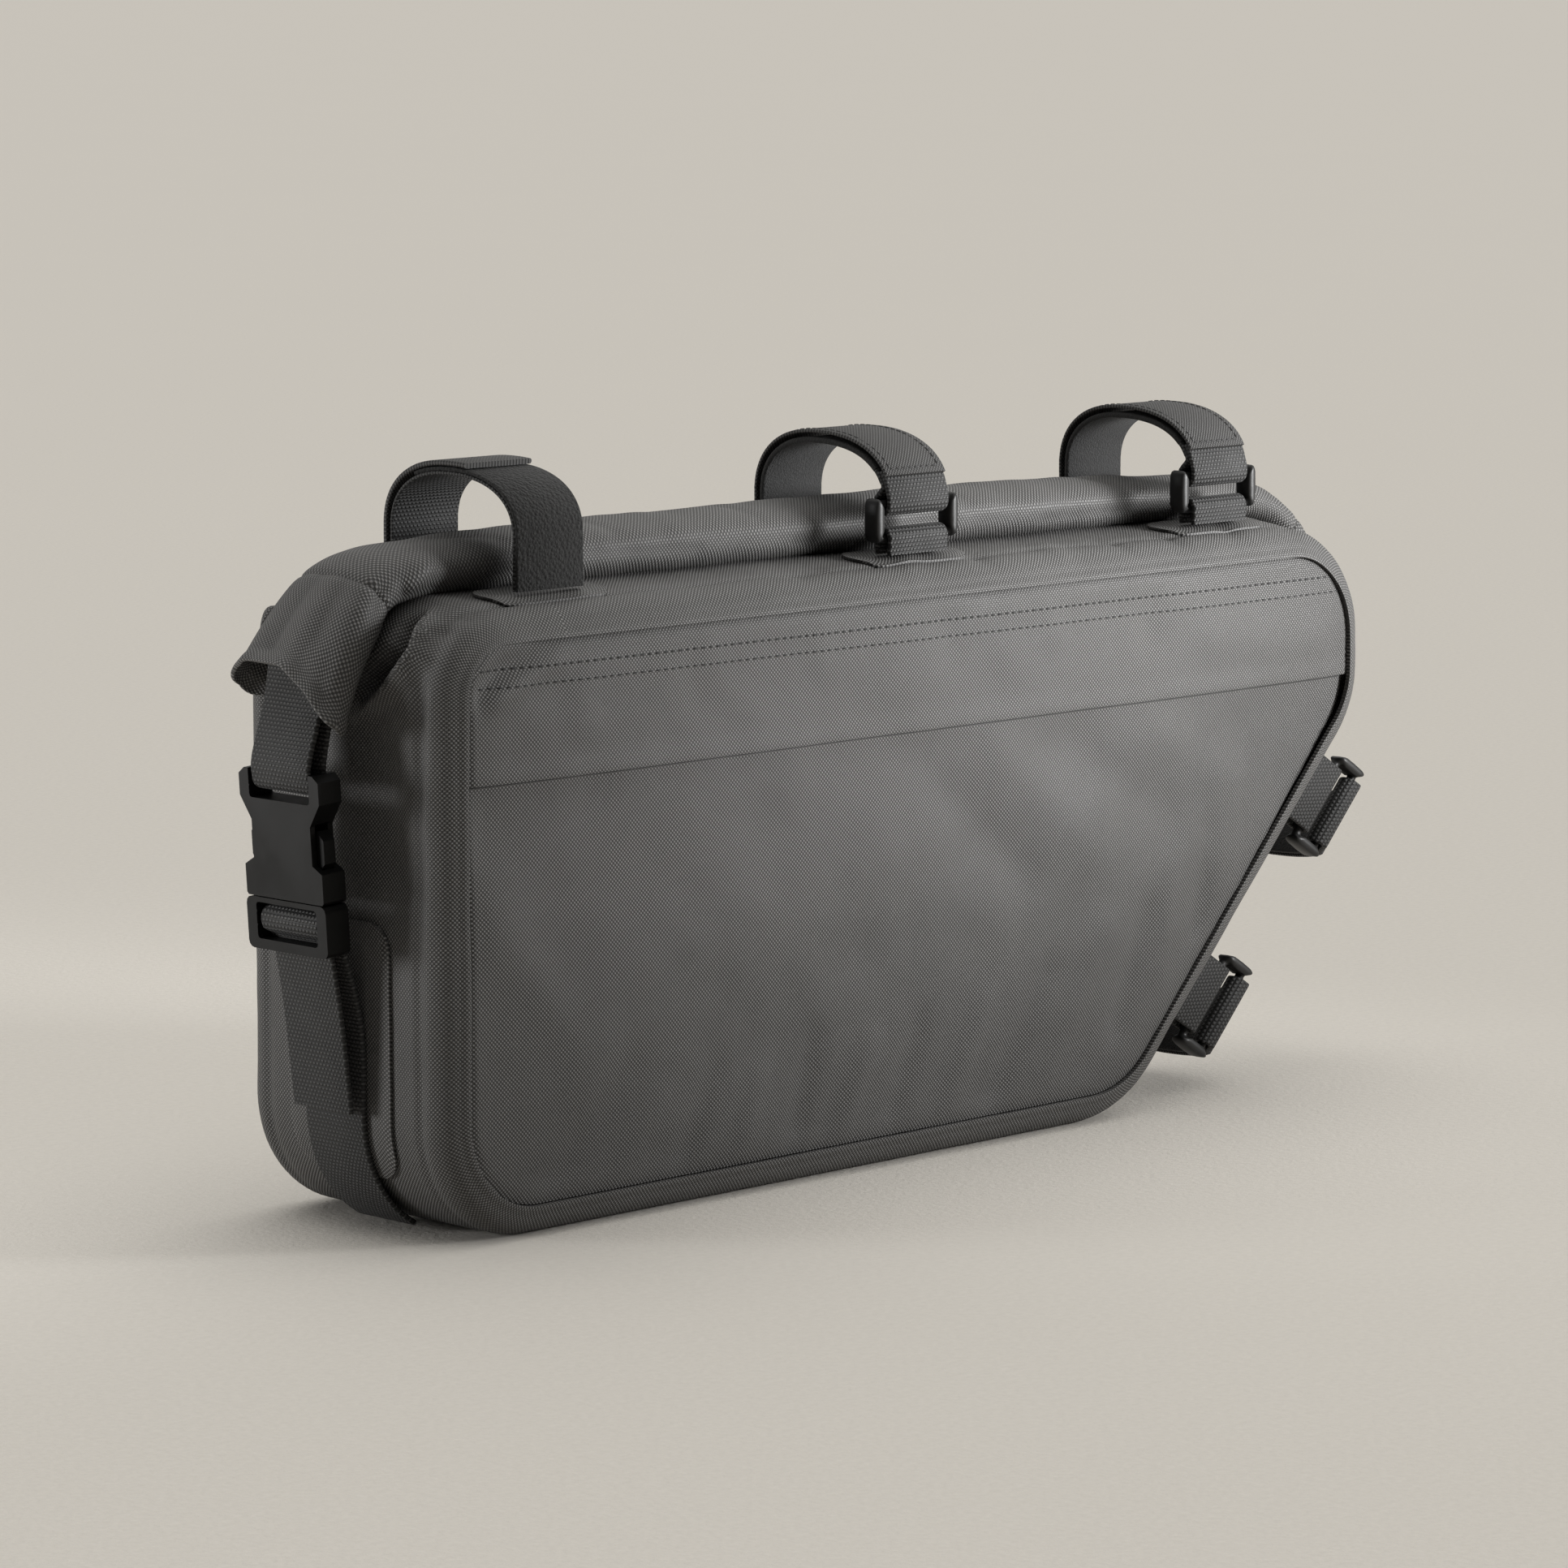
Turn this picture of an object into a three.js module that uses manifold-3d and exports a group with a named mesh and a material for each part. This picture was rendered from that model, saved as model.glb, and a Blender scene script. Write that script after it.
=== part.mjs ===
import * as THREE from 'three';
import { mergeVertices } from 'three/addons/utils/BufferGeometryUtils.js';
import Module from 'manifold-3d';

const wasm = await Module();
wasm.setup();

// Driving dimensions, in millimetres and degrees
// Bag body, seen from the front: X to the right, Z up, Y through the depth
const bagLength = 406;
const bagHeight = 183;
const bagDepth = 88;
const baseLength = 293;
const rightSideHeight = 61;
const bottomLeftRadius = 36;
const bottomRightRadius = 45;
const rightLowerRadius = 35;
const topRightRadius = 37;
const topLeftRadius = 25;
const clothThickness = 1.5;
const clearance = 0.3;
const wrapClearance = 0.45;
const edgeRound = 9.5;
const panelBulge = 3;
const topCrown = 4;
const endBulge = 0.5;
const stationSpacing = 28;
const arcStep = 15;

// Mouth under the roll, and the roll
const mouthWidth = 12;
const mouthMargin = 24;
const flapEdgeHeight = 133.5;
const rollWidth = 29;
const rollHeight = 15;
const rollTurns = 1.75;
const rollTurnGap = 0.5;
const rollStart = 4;
const rollEnd = 388;

// Drooping ends of the roll
const tabWidth = 41;
const tabDrop = 34;
const tabStandOff = 15;
const hemSkew = 4;
const rightTabWidth = 36;
const rightTabStandOff = 6;

// Webbing and the side release buckle on the left end. The bar that holds the lower webbing is at
// plugBarRise above the plug's lower edge, and the plug's middle prong is a share of the socket
const webbingWidth = 25;
const webbingThickness = 1.6;
const buckleWidth = 34.5;
const buckleThickness = 8.5;
const buckleCornerRound = 2.2;
const buckleTilt = 3.8;
const buckleTopHeight = 137.5;
const buckleStandOff = 19.2;
const socketHeight = 37.2;
const plugHeight = 15.5;
const plugBarRise = 9;
const guideShare = 0.45;
const cavityThickness = 4.8;
const cavityWidth = 29.7;
const cavityHeight = 23;
const barThickness = 3;
const tailLength = 47;
const tailStandOff = 7.3;
const tailBow = 4;
const patchThickness = 0.8;
const endPatchWidth = 44;
const endPatchTop = 93;
const endPatchRound = 9;

// Straps that fasten the bag to the bicycle
const strapWidth = 26;
const strapHalfSpan = 29;
const pileThickness = 2.4;
const liningThickness = 1.8;
const slideBuckleWidth = 35;
const slideBuckleThickness = 3.4;
const slideSlotHeight = 4;
const slideCornerRound = 3.5;
const slotRound = 1;
const topStrapHeight = 37;
const topStrapLeg = 19;
const topBuckleRise = 5;
const slantedStrapHeight = 39;
const slantedStrapLeg = 31;
const slantedBuckleRise = 14;
const slantedStrapTilt = 10;
const topStrapCentres = [54.8, 206, 345.8];
const slantedStrapCentres = [53.7, 135.5];
const strapPatchLength = 46;
const strapPatchRound = 8;
const sewnTurn = 18;
const liningGap = 5;
const topStrapRoundness = 0.78;
const slantedStrapRoundness = 0.65;

// Sizes worked out from the driving dimensions
const slantRun = bagLength - baseLength;
const slantRise = bagHeight - rightSideHeight;
const slantAngle = Math.atan2(slantRise, slantRun);
const baseFlatEnd = baseLength - bottomRightRadius * Math.tan(slantAngle / 2);
const baseMiddle = (bottomLeftRadius + baseFlatEnd) / 2;
const flatHalf = bagDepth / 2 - edgeRound;
const seamInset = edgeRound + clearance;
const layerStep = clothThickness + clearance;
const leftTabReach = rollStart + tabStandOff;
const rightTabReach = bagLength - rollEnd + rightTabStandOff;
const webbingSlotWidth = webbingWidth + 4 * clearance;

// Materials
function clothMaterial(colour) {
  return new THREE.MeshStandardMaterial({ color: colour, roughness: 0.75, metalness: 0 });
}
const bodyCloth = clothMaterial(0x5d5b58);
const webbingCloth = clothMaterial(0x37353a);
const pileCloth = clothMaterial(0x1c1b1b);
const blackPlastic = new THREE.MeshStandardMaterial({ color: 0x1d1d1f, roughness: 0.4, metalness: 0 });

const bag = new THREE.Group();

function addPiece(name, geometry, material, holder = bag) {
  geometry.computeVertexNormals();
  const mesh = new THREE.Mesh(geometry, material);
  mesh.name = name;
  holder.add(mesh);
  return mesh;
}

// Closed geometry from corner triples, with shared corners merged and empty triangles dropped
function closedGeometry(triples) {
  const positions = new Float32Array(triples.length * 9);
  triples.flat().forEach((point, index) => point.toArray(positions, index * 3));
  const loose = new THREE.BufferGeometry();
  loose.setAttribute('position', new THREE.BufferAttribute(positions, 3));
  const merged = mergeVertices(loose, 1e-3);
  const kept = [];
  for (let k = 0; k < merged.index.count; k += 3) {
    const [a, b, c] = [0, 1, 2].map((step) => merged.index.getX(k + step));
    if (a !== b && b !== c && c !== a) {
      kept.push(a, b, c);
    }
  }
  merged.setIndex(signedVolume(merged, kept) < 0 ? kept.reverse() : kept);
  return merged;
}

function signedVolume(geometry, index) {
  const corner = (k) => new THREE.Vector3().fromBufferAttribute(geometry.attributes.position, index[k]);
  let volume = 0;
  for (let k = 0; k < index.length; k += 3) {
    volume += corner(k).dot(corner(k + 1).cross(corner(k + 2))) / 6;
  }
  return volume;
}

// Sheet with a thickness: two grids of points, outer and inner, joined round their border
function thickSheet(outer, inner, wraps = false) {
  const triples = [];
  const rows = outer.length;
  const columns = outer[0].length;
  const quad = (a, b, c, d) => triples.push([a, b, c], [a, c, d]);
  const lastRow = wraps ? rows : rows - 1;
  for (let i = 0; i < lastRow; i += 1) {
    const n = (i + 1) % rows;
    for (let j = 0; j < columns - 1; j += 1) {
      quad(outer[i][j], outer[n][j], outer[n][j + 1], outer[i][j + 1]);
      quad(inner[i][j], inner[i][j + 1], inner[n][j + 1], inner[n][j]);
    }
    const end = columns - 1;
    quad(outer[i][0], inner[i][0], inner[n][0], outer[n][0]);
    quad(outer[i][end], outer[n][end], inner[n][end], inner[i][end]);
  }
  if (!wraps) {
    for (let j = 0; j < columns - 1; j += 1) {
      const end = rows - 1;
      quad(outer[0][j], outer[0][j + 1], inner[0][j + 1], inner[0][j]);
      quad(outer[end][j], inner[end][j], inner[end][j + 1], outer[end][j + 1]);
    }
  }
  return closedGeometry(triples);
}

// Boolean cuts and joins
function toManifold(geometry) {
  const bare = geometry.clone();
  bare.deleteAttribute('normal');
  bare.deleteAttribute('uv');
  const merged = mergeVertices(bare, 1e-4);
  return new wasm.Manifold(new wasm.Mesh({
    numProp: 3,
    vertProperties: new Float32Array(merged.attributes.position.array),
    triVerts: new Uint32Array(merged.index.array),
  }));
}

function fromManifold(manifold) {
  const mesh = manifold.getMesh();
  const positions = new Float32Array(mesh.vertProperties);
  const geometry = new THREE.BufferGeometry();
  geometry.setAttribute('position', new THREE.BufferAttribute(positions, 3));
  geometry.setIndex(new THREE.BufferAttribute(new Uint32Array(mesh.triVerts), 1));
  return geometry;
}

function cut(geometry, tool) {
  return fromManifold(toManifold(geometry).subtract(toManifold(tool)));
}

function keepWithin(geometry, tool) {
  return fromManifold(toManifold(geometry).intersect(toManifold(tool)));
}

function join(first, second) {
  return fromManifold(toManifold(first).add(toManifold(second)));
}

// Shape helpers
function shapeOf(points) {
  return new THREE.Shape(points.map(([x, y]) => new THREE.Vector2(x, y)));
}

function roundedRectangle(width, height, radius, steps = 3) {
  const points = [];
  const centres = [[1, 1], [-1, 1], [-1, -1], [1, -1]];
  centres.forEach(([sx, sy], corner) => {
    for (let k = 0; k <= steps; k += 1) {
      const angle = (corner + k / steps) * Math.PI / 2;
      points.push([
        sx * (width / 2 - radius) + radius * Math.cos(angle),
        sy * (height / 2 - radius) + radius * Math.sin(angle),
      ]);
    }
  });
  return points;
}

// Outline of a slot, or of a bar, between two heights
function slotOutline(width, from, to) {
  return movedPoints(roundedRectangle(width, to - from, slotRound, 2), 0, (from + to) / 2);
}

// Plate from an outline in its own XY plane, centred on its thickness along Z
function plate(outline, thickness, holes = []) {
  const shape = shapeOf(outline);
  holes.forEach((hole) => shape.holes.push(shapeOf(hole)));
  const geometry = new THREE.ExtrudeGeometry(shape, { depth: thickness, bevelEnabled: false });
  geometry.translate(0, 0, -thickness / 2);
  return geometry;
}

function movedPoints(points, dx, dy) {
  return points.map(([x, y]) => [x + dx, y + dy]);
}

// Path moved sideways by a distance, to its right hand when positive
function offsetPath(path, distance) {
  return path.map((point, k) => {
    const before = path[Math.max(k - 1, 0)];
    const after = path[Math.min(k + 1, path.length - 1)];
    const first = new THREE.Vector2(point[0] - before[0], point[1] - before[1]).normalize();
    const second = new THREE.Vector2(after[0] - point[0], after[1] - point[1]).normalize();
    const along = first.add(second).normalize();
    const into = second.length() > 0 ? second : along;
    const stretch = 1 / Math.max(Math.abs(along.dot(into)), 0.5);
    return [point[0] + along.y * distance * stretch, point[1] - along.x * distance * stretch];
  });
}

// Ribbon that follows a flat path, with its width across the path's plane
function ribbon(path, thickness, width) {
  const right = offsetPath(path, thickness / 2);
  const left = offsetPath(path, -thickness / 2).reverse();
  return plate([...right, ...left], width);
}

// Turns a plate's XY plane into the plane of Y and Z, with its thickness along X
function standAcross(geometry) {
  return geometry.applyMatrix4(new THREE.Matrix4().makeBasis(
    new THREE.Vector3(0, 1, 0),
    new THREE.Vector3(0, 0, 1),
    new THREE.Vector3(1, 0, 0),
  ));
}

// Turns a plate's XY plane into the plane of X and Z, with its thickness along Y
function standUpright(geometry) {
  return geometry.rotateX(Math.PI / 2);
}

function bodyX(fromLeftEnd) {
  return fromLeftEnd - baseMiddle;
}

// Stations round the bag's outline, counter-clockwise from the bottom left corner
const cornerTable = [
  { x: 0, z: 0, radius: bottomLeftRadius },
  { x: baseLength, z: 0, radius: bottomRightRadius },
  { x: bagLength, z: slantRise, radius: rightLowerRadius },
  { x: bagLength, z: bagHeight, radius: topRightRadius },
  { x: 0, z: bagHeight, radius: topLeftRadius },
];

function cornerArc(corner, before, after) {
  const inward = new THREE.Vector2(corner.x - before.x, corner.z - before.z).normalize();
  const onward = new THREE.Vector2(after.x - corner.x, after.z - corner.z).normalize();
  const turn = Math.acos(inward.dot(onward));
  const tangent = corner.radius * Math.tan(turn / 2);
  const centre = new THREE.Vector2(
    corner.x - inward.x * tangent - inward.y * corner.radius,
    corner.z - inward.y * tangent + inward.x * corner.radius,
  );
  const steps = Math.ceil(THREE.MathUtils.radToDeg(turn) / arcStep);
  const firstNormal = new THREE.Vector2(inward.y, -inward.x);
  return Array.from({ length: steps + 1 }, (_, k) => {
    const normal = firstNormal.clone().rotateAround(new THREE.Vector2(), turn * k / steps);
    return {
      x: bodyX(centre.x + normal.x * corner.radius),
      z: centre.y + normal.y * corner.radius,
      nx: normal.x,
      nz: normal.y,
    };
  });
}

function outlineStations() {
  const arcs = cornerTable.map((corner, k) => cornerArc(
    corner,
    cornerTable[(k + cornerTable.length - 1) % cornerTable.length],
    cornerTable[(k + 1) % cornerTable.length],
  ));
  return arcs.flatMap((arc, k) => {
    const from = arc[arc.length - 1];
    const to = arcs[(k + 1) % arcs.length][0];
    const length = Math.hypot(to.x - from.x, to.z - from.z);
    const parts = Math.max(1, Math.round(length / stationSpacing));
    const between = Array.from({ length: parts - 1 }, (_, j) => {
      const share = (j + 1) / parts;
      return {
        x: from.x + (to.x - from.x) * share,
        z: from.z + (to.z - from.z) * share,
        nx: from.nx,
        nz: from.nz,
      };
    });
    return [...arc, ...between];
  });
}

const stations = outlineStations();
const bottomLeftArc = cornerArc(cornerTable[0], cornerTable[4], cornerTable[1]);
const rightLowerArc = cornerArc(cornerTable[2], cornerTable[1], cornerTable[3]);

// Bulge of the band between its round edges: crowned along the top, slight on the ends
function bandBulge(station, y) {
  const crown = topCrown * Math.max(station.nz, 0) ** 3;
  const swell = crown + endBulge * station.nx ** 2;
  return swell * (1 - Math.min(Math.abs(y) / flatHalf, 1) ** 2);
}

function topSurface(y) {
  return bagHeight + bandBulge({ nx: 0, nz: 1 }, y);
}

// Dents pressed into the band. Places and reaches are shares of the length, half depth and height,
// and depths are shares of the round edge
const bandDents = [
  { along: 0.0, across: -0.5, up: 0.88, reachUp: 0.09, reachAcross: 0.24, depth: 1.0 },
  { along: 0.0, across: 0.58, up: 0.9, reachUp: 0.08, reachAcross: 0.2, depth: 0.8 },
  { along: 0.0, across: -0.1, up: 0.62, reachUp: 0.12, reachAcross: 0.5, depth: 0.15 },
  { along: 1.0, across: -0.55, up: 0.93, reachUp: 0.07, reachAcross: 0.22, depth: 0.55 },
  { along: 1.0, across: 0.55, up: 0.93, reachUp: 0.07, reachAcross: 0.22, depth: 0.55 },
];

function bandDent(x, y, z) {
  return bandDents.reduce((sum, dent) => {
    const dx = (x - bodyX(dent.along * bagLength)) / (0.06 * bagLength);
    const dy = (y - dent.across * bagDepth / 2) / (dent.reachAcross * bagDepth / 2);
    const dz = (z - dent.up * bagHeight) / (dent.reachUp * bagHeight);
    return sum + dent.depth * edgeRound * Math.exp(-(dx * dx) - dy * dy - dz * dz);
  }, 0);
}

// Section of the band from the front seam to the back seam: how far in from the outline, and Y
function bandSection(station, depthIn) {
  const radius = edgeRound - depthIn;
  const round = [0, 30, 60].map((angle) => {
    const turn = THREE.MathUtils.degToRad(angle);
    return { inset: edgeRound - radius * Math.sin(turn), y: -flatHalf - radius * Math.cos(turn) };
  });
  const flat = [-1, -0.67, -0.34, 0, 0.34, 0.67, 1].map((share) => {
    const y = share * flatHalf;
    return { inset: depthIn - bandBulge(station, y), y };
  });
  const back = round.map(({ inset, y }) => ({ inset, y: -y })).reverse();
  return [...round, ...flat, ...back].map(({ inset, y }) => {
    const push = inset + bandDent(station.x, y, station.z);
    return new THREE.Vector3(station.x - station.nx * push, y, station.z - station.nz * push);
  });
}

function makeGusset() {
  const outer = stations.map((station) => bandSection(station, 0));
  const inner = stations.map((station) => bandSection(station, clothThickness));
  const band = thickSheet(outer, inner, true);
  const mouthLength = bagLength - 2 * mouthMargin;
  const mouthRound = mouthWidth / 2 - clearance;
  const mouth = plate(roundedRectangle(mouthLength, mouthWidth, mouthRound), bagHeight / 2);
  mouth.translate(bodyX(bagLength / 2), 0, bagHeight);
  addPiece('gusset', cut(band, mouth), bodyCloth);
}

// Side panels: rings of points from the seam in to the middle, with folds across them
const panelRings = [0, 0.05, 0.13, 0.27, 0.48, 0.75, 1];

// Folds of the panels: place and reach as shares of the length and height, depth as one of the bulge
const frontFolds = [
  { along: 0.05, up: 0.88, length: 0.1, width: 0.05, lean: 50, depth: -0.9 },
  { along: 0.09, up: 0.9, length: 0.12, width: 0.04, lean: 20, depth: 0.5 },
  { along: 0.36, up: 0.14, length: 0.12, width: 0.035, lean: 80, depth: -0.6 },
  { along: 0.52, up: 0.13, length: 0.14, width: 0.04, lean: 70, depth: 0.5 },
  { along: 0.62, up: 0.16, length: 0.16, width: 0.04, lean: 65, depth: -0.7 },
  { along: 0.72, up: 0.42, length: 0.2, width: 0.06, lean: -40, depth: -0.5 },
  { along: 0.8, up: 0.5, length: 0.2, width: 0.05, lean: -35, depth: 0.4 },
];
const backFolds = [
  { along: 0.08, up: 0.86, length: 0.12, width: 0.05, lean: 45, depth: -0.7 },
  { along: 0.45, up: 0.15, length: 0.14, width: 0.04, lean: 80, depth: -0.5 },
  { along: 0.7, up: 0.4, length: 0.2, width: 0.06, lean: -40, depth: -0.5 },
];

function foldHeight(folds, x, z) {
  return folds.reduce((sum, fold) => {
    const lean = THREE.MathUtils.degToRad(fold.lean);
    const dx = x - bodyX(fold.along * bagLength);
    const dz = z - fold.up * bagHeight;
    const run = (dx * Math.cos(lean) + dz * Math.sin(lean)) / (fold.length * bagHeight);
    const off = (dz * Math.cos(lean) - dx * Math.sin(lean)) / (fold.width * bagHeight);
    return sum + fold.depth * panelBulge * Math.exp(-run * run - off * off);
  }, 0);
}

// How far the front panel sits in under the flap, growing over its upper part
function flapRecess(z) {
  return layerStep * THREE.MathUtils.smoothstep(z, flapEdgeHeight / 2, flapEdgeHeight);
}

function panelGrid(side, folds, stepIn) {
  const middle = new THREE.Vector2(bodyX(0.49 * bagLength), 0.54 * bagHeight);
  return stations.map((station) => {
    const rim = new THREE.Vector2(
      station.x - station.nx * seamInset,
      station.z - station.nz * seamInset,
    );
    return panelRings.map((ring) => {
      const point = rim.clone().lerp(middle, ring);
      const fade = Math.min(ring / panelRings[2], 1);
      const lift = panelBulge * (1 - (1 - ring) ** 2) + fade * foldHeight(folds, point.x, point.y);
      return new THREE.Vector3(point.x, side * (bagDepth / 2 + lift - stepIn(point.y)), point.y);
    });
  });
}

function panelSheet(side, folds, stepIn) {
  const outer = panelGrid(side, folds, stepIn);
  const inner = panelGrid(side, folds, (z) => stepIn(z) + clothThickness);
  return thickSheet(outer, inner, true);
}

function makePanels() {
  addPiece('front_panel', panelSheet(-1, frontFolds, flapRecess), bodyCloth);
  addPiece('back_panel', panelSheet(1, backFolds, () => 0), bodyCloth);
}

function makePocketFlap() {
  const layer = panelSheet(-1, frontFolds, (z) => flapRecess(z) - layerStep);
  const above = new THREE.BoxGeometry(2 * bagLength, 2 * bagDepth, bagHeight);
  above.translate(0, 0, flapEdgeHeight + bagHeight / 2);
  addPiece('pocket_flap', keepWithin(layer, above), bodyCloth);
}

// Point of a flattened round, for the roll and its ends
function flattenedRound(halfWidth, halfHeight, angle) {
  const power = 0.8;
  const c = Math.cos(angle);
  const s = Math.sin(angle);
  return [
    halfWidth * Math.sign(c) * Math.abs(c) ** power,
    halfHeight * Math.sign(s) * Math.abs(s) ** power,
  ];
}

// Height of the band's top in the middle of its depth, at a place along the length
function bandTop(x) {
  const ridge = stations.filter((station) => station.nz > 0.2).map((station) => {
    const swell = bandBulge(station, 0);
    return [station.x + station.nx * swell, station.z + station.nz * swell];
  });
  const next = Math.max(ridge.findIndex(([ridgeX]) => ridgeX < x), 1);
  const [[x0, z0], [x1, z1]] = [ridge[next - 1], ridge[next]];
  return THREE.MathUtils.mapLinear(x, x0, x1, z0, z1);
}

// Sections of the roll: share of its length, then lift off the band, height and width as shares
// of the roll's height and width
const rollSections = [
  { share: 0, lift: 0.5, high: 1.26, wide: 1.17 },
  { share: 0.016, lift: 0.15, high: 1.14, wide: 1.13 },
  { share: 0.034, lift: 0.07, high: 0.95, wide: 1.09 },
  { share: 0.055, lift: 0.03, high: 0.89, wide: 1.06 },
  { share: 0.1, lift: 0.03, high: 0.96, wide: 1.03 },
  { share: 0.2, lift: 0.03, high: 1, wide: 0.99 },
  { share: 0.32, lift: 0.03, high: 1, wide: 1 },
  { share: 0.44, lift: 0.03, high: 0.99, wide: 1.02 },
  { share: 0.58, lift: 0.03, high: 1, wide: 1 },
  { share: 0.72, lift: 0.03, high: 0.98, wide: 0.98 },
  { share: 0.83, lift: 0.03, high: 0.88, wide: 1 },
  { share: 0.91, lift: 0.03, high: 0.74, wide: 1.03 },
  { share: 0.951, lift: 0.04, high: 0.73, wide: 1.05 },
  { share: 0.977, lift: 0.07, high: 0.73, wide: 1.06 },
  { share: 1, lift: 0.16, high: 0.74, wide: 1.06 },
];

function rollSectionFrame(section) {
  const x = bodyX(rollStart + (rollEnd - rollStart) * section.share);
  const halfHeight = section.high * rollHeight / 2;
  return {
    x,
    z: bandTop(x) + section.lift * rollHeight + halfHeight,
    halfHeight,
    halfWidth: section.wide * rollWidth / 2,
  };
}

function makeRoll() {
  const stepsPerTurn = 12;
  const steps = Math.round(rollTurns * stepsPerTurn);
  const turnPitch = clothThickness + rollTurnGap;
  const layer = (depthIn) => rollSections.map((section) => {
    const { x, z, halfHeight, halfWidth } = rollSectionFrame(section);
    return Array.from({ length: steps + 1 }, (_, k) => {
      const turns = k / stepsPerTurn;
      const inset = turns * turnPitch + depthIn;
      const angle = -Math.PI / 2 + turns * 2 * Math.PI;
      const [y, rise] = flattenedRound(halfWidth - inset, halfHeight - inset, angle);
      return new THREE.Vector3(x, y, z + rise);
    });
  });
  addPiece('roll_top', thickSheet(layer(0), layer(clothThickness)), bodyCloth);
}

// Drooping ends: share out past the roll, share of the drop, thickness and width as shares
const tabSections = [
  { out: 0, drop: 0, thick: 1, wide: 0 },
  { out: 0.36, drop: 0.04, thick: 0.85, wide: 0.3 },
  { out: 0.64, drop: 0.16, thick: 0.75, wide: 0.55 },
  { out: 0.8, drop: 0.35, thick: 0.68, wide: 0.75 },
  { out: 0.9, drop: 0.58, thick: 0.66, wide: 0.9 },
  { out: 0.96, drop: 0.82, thick: 0.66, wide: 0.97 },
  { out: 1, drop: 1, thick: 0.68, wide: 1 },
];

function tabPath(start, reach) {
  return tabSections.map(({ out, drop }) => new THREE.Vector2(
    start.x + reach * out,
    start.z - tabDrop * drop,
  ));
}

function makeTab(name, section, side, reach, hemWidth) {
  const start = rollSectionFrame(section);
  start.x += side * clearance;
  const path = tabPath(start, side * reach);
  const sides = 14;
  const layer = (depthIn) => Array.from({ length: sides }, (_, k) => tabSections.map((row, j) => {
    const before = path[Math.max(j - 1, 0)];
    const after = path[Math.min(j + 1, path.length - 1)];
    const along = j === 0 ? new THREE.Vector2(side, 0) : after.clone().sub(before).normalize();
    const halfWidth = THREE.MathUtils.lerp(start.halfWidth, hemWidth / 2, row.wide) - depthIn;
    const halfThick = start.halfHeight * row.thick - depthIn;
    const [y, off] = flattenedRound(halfWidth, halfThick, k / sides * 2 * Math.PI);
    const slide = -hemSkew * row.drop * y / halfWidth;
    return new THREE.Vector3(
      path[j].x - side * along.y * off + along.x * slide,
      y,
      path[j].y + side * along.x * off + along.y * slide,
    );
  }));
  addPiece(name, thickSheet(layer(0), layer(clothThickness), true), bodyCloth);
}

// Heights and places of the left end fittings, from the buckle's top
const halfWrap = barThickness / 2 + wrapClearance + webbingThickness / 2;
const socketBarHeight = buckleTopHeight - barThickness;
const plugBarHeight = buckleTopHeight - socketHeight - plugHeight + plugBarRise;
const tiltSlope = Math.tan(THREE.MathUtils.degToRad(buckleTilt));

function buckleX(height) {
  return bodyX(-buckleStandOff) + (buckleTopHeight - height) * tiltSlope;
}

// Turn of webbing round a bar, squared off so that it clears the bar's corners
function wrapPoints(centre, radius, from, to, steps) {
  const power = 0.5;
  return Array.from({ length: steps + 1 }, (_, k) => {
    const angle = THREE.MathUtils.degToRad(from + (to - from) * k / steps);
    const [c, s] = [Math.cos(angle), Math.sin(angle)];
    return [
      centre[0] + radius * Math.sign(c) * Math.abs(c) ** power,
      centre[1] + radius * Math.sign(s) * Math.abs(s) ** power,
    ];
  });
}

function makeUpperWebbing() {
  const tab = tabPath(rollSectionFrame(rollSections[0]), -leftTabReach);
  const hem = tab[tab.length - 1];
  const inTab = tab[tab.length - 3];
  const bar = [buckleX(socketBarHeight), socketBarHeight];
  const apart = 1.3 * webbingThickness;
  const pastBar = buckleTopHeight + barThickness / 2;
  const path = [
    [inTab.x - webbingThickness, inTab.y],
    [hem.x - apart, hem.y],
    [buckleX(pastBar) - halfWrap, pastBar],
    ...wrapPoints(bar, halfWrap, 180, 360, 8),
    [buckleX(pastBar) + halfWrap, pastBar],
    [hem.x + apart, hem.y],
  ];
  addPiece('webbing_upper', standUpright(ribbon(path, webbingThickness, webbingWidth)), webbingCloth);
}

// Half outline of the socket from its top down: share of half width, share of its height
const socketOutline = [
  { wide: 0.86, up: 1 },
  { wide: 1, up: 0.95 },
  { wide: 1, up: 0.78 },
  { wide: 0.74, up: 0.6 },
  { wide: 0.74, up: 0.3 },
  { wide: 0.97, up: 0.24 },
  { wide: 0.97, up: 0.02 },
  { wide: 0.93, up: 0 },
];

// Half outline of one plug arm: distances from the middle as shares of the half width, and heights
const armOutline = [
  { wide: 0.6, up: -0.02 },
  { wide: 0.8, up: -0.02 },
  { wide: 0.8, up: 0.26 },
  { wide: 0.91, up: 0.32 },
  { wide: 0.91, up: 0.5 },
  { wide: 0.76, up: 0.57 },
  { wide: 0.66, up: 0.52 },
];

function mirroredOutline(half) {
  return [...half, ...half.map(([w, h]) => [-w, h]).reverse()];
}

function bucklePiece(name, geometry, bottomHeight) {
  const piece = addPiece(name, geometry, blackPlastic);
  piece.rotation.y = -THREE.MathUtils.degToRad(buckleTilt);
  piece.position.set(buckleX(bottomHeight), 0, bottomHeight);
}

// Room for webbing in front of a bar and behind it, between two heights
function wrapRoom(geometry, width, from, to) {
  const depth = buckleThickness / 2;
  return [-1, 1].reduce((body, side) => {
    const room = new THREE.BoxGeometry(depth, width, to - from);
    room.translate(side * (barThickness + depth) / 2, 0, (from + to) / 2);
    return cut(body, room);
  }, geometry);
}

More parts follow.
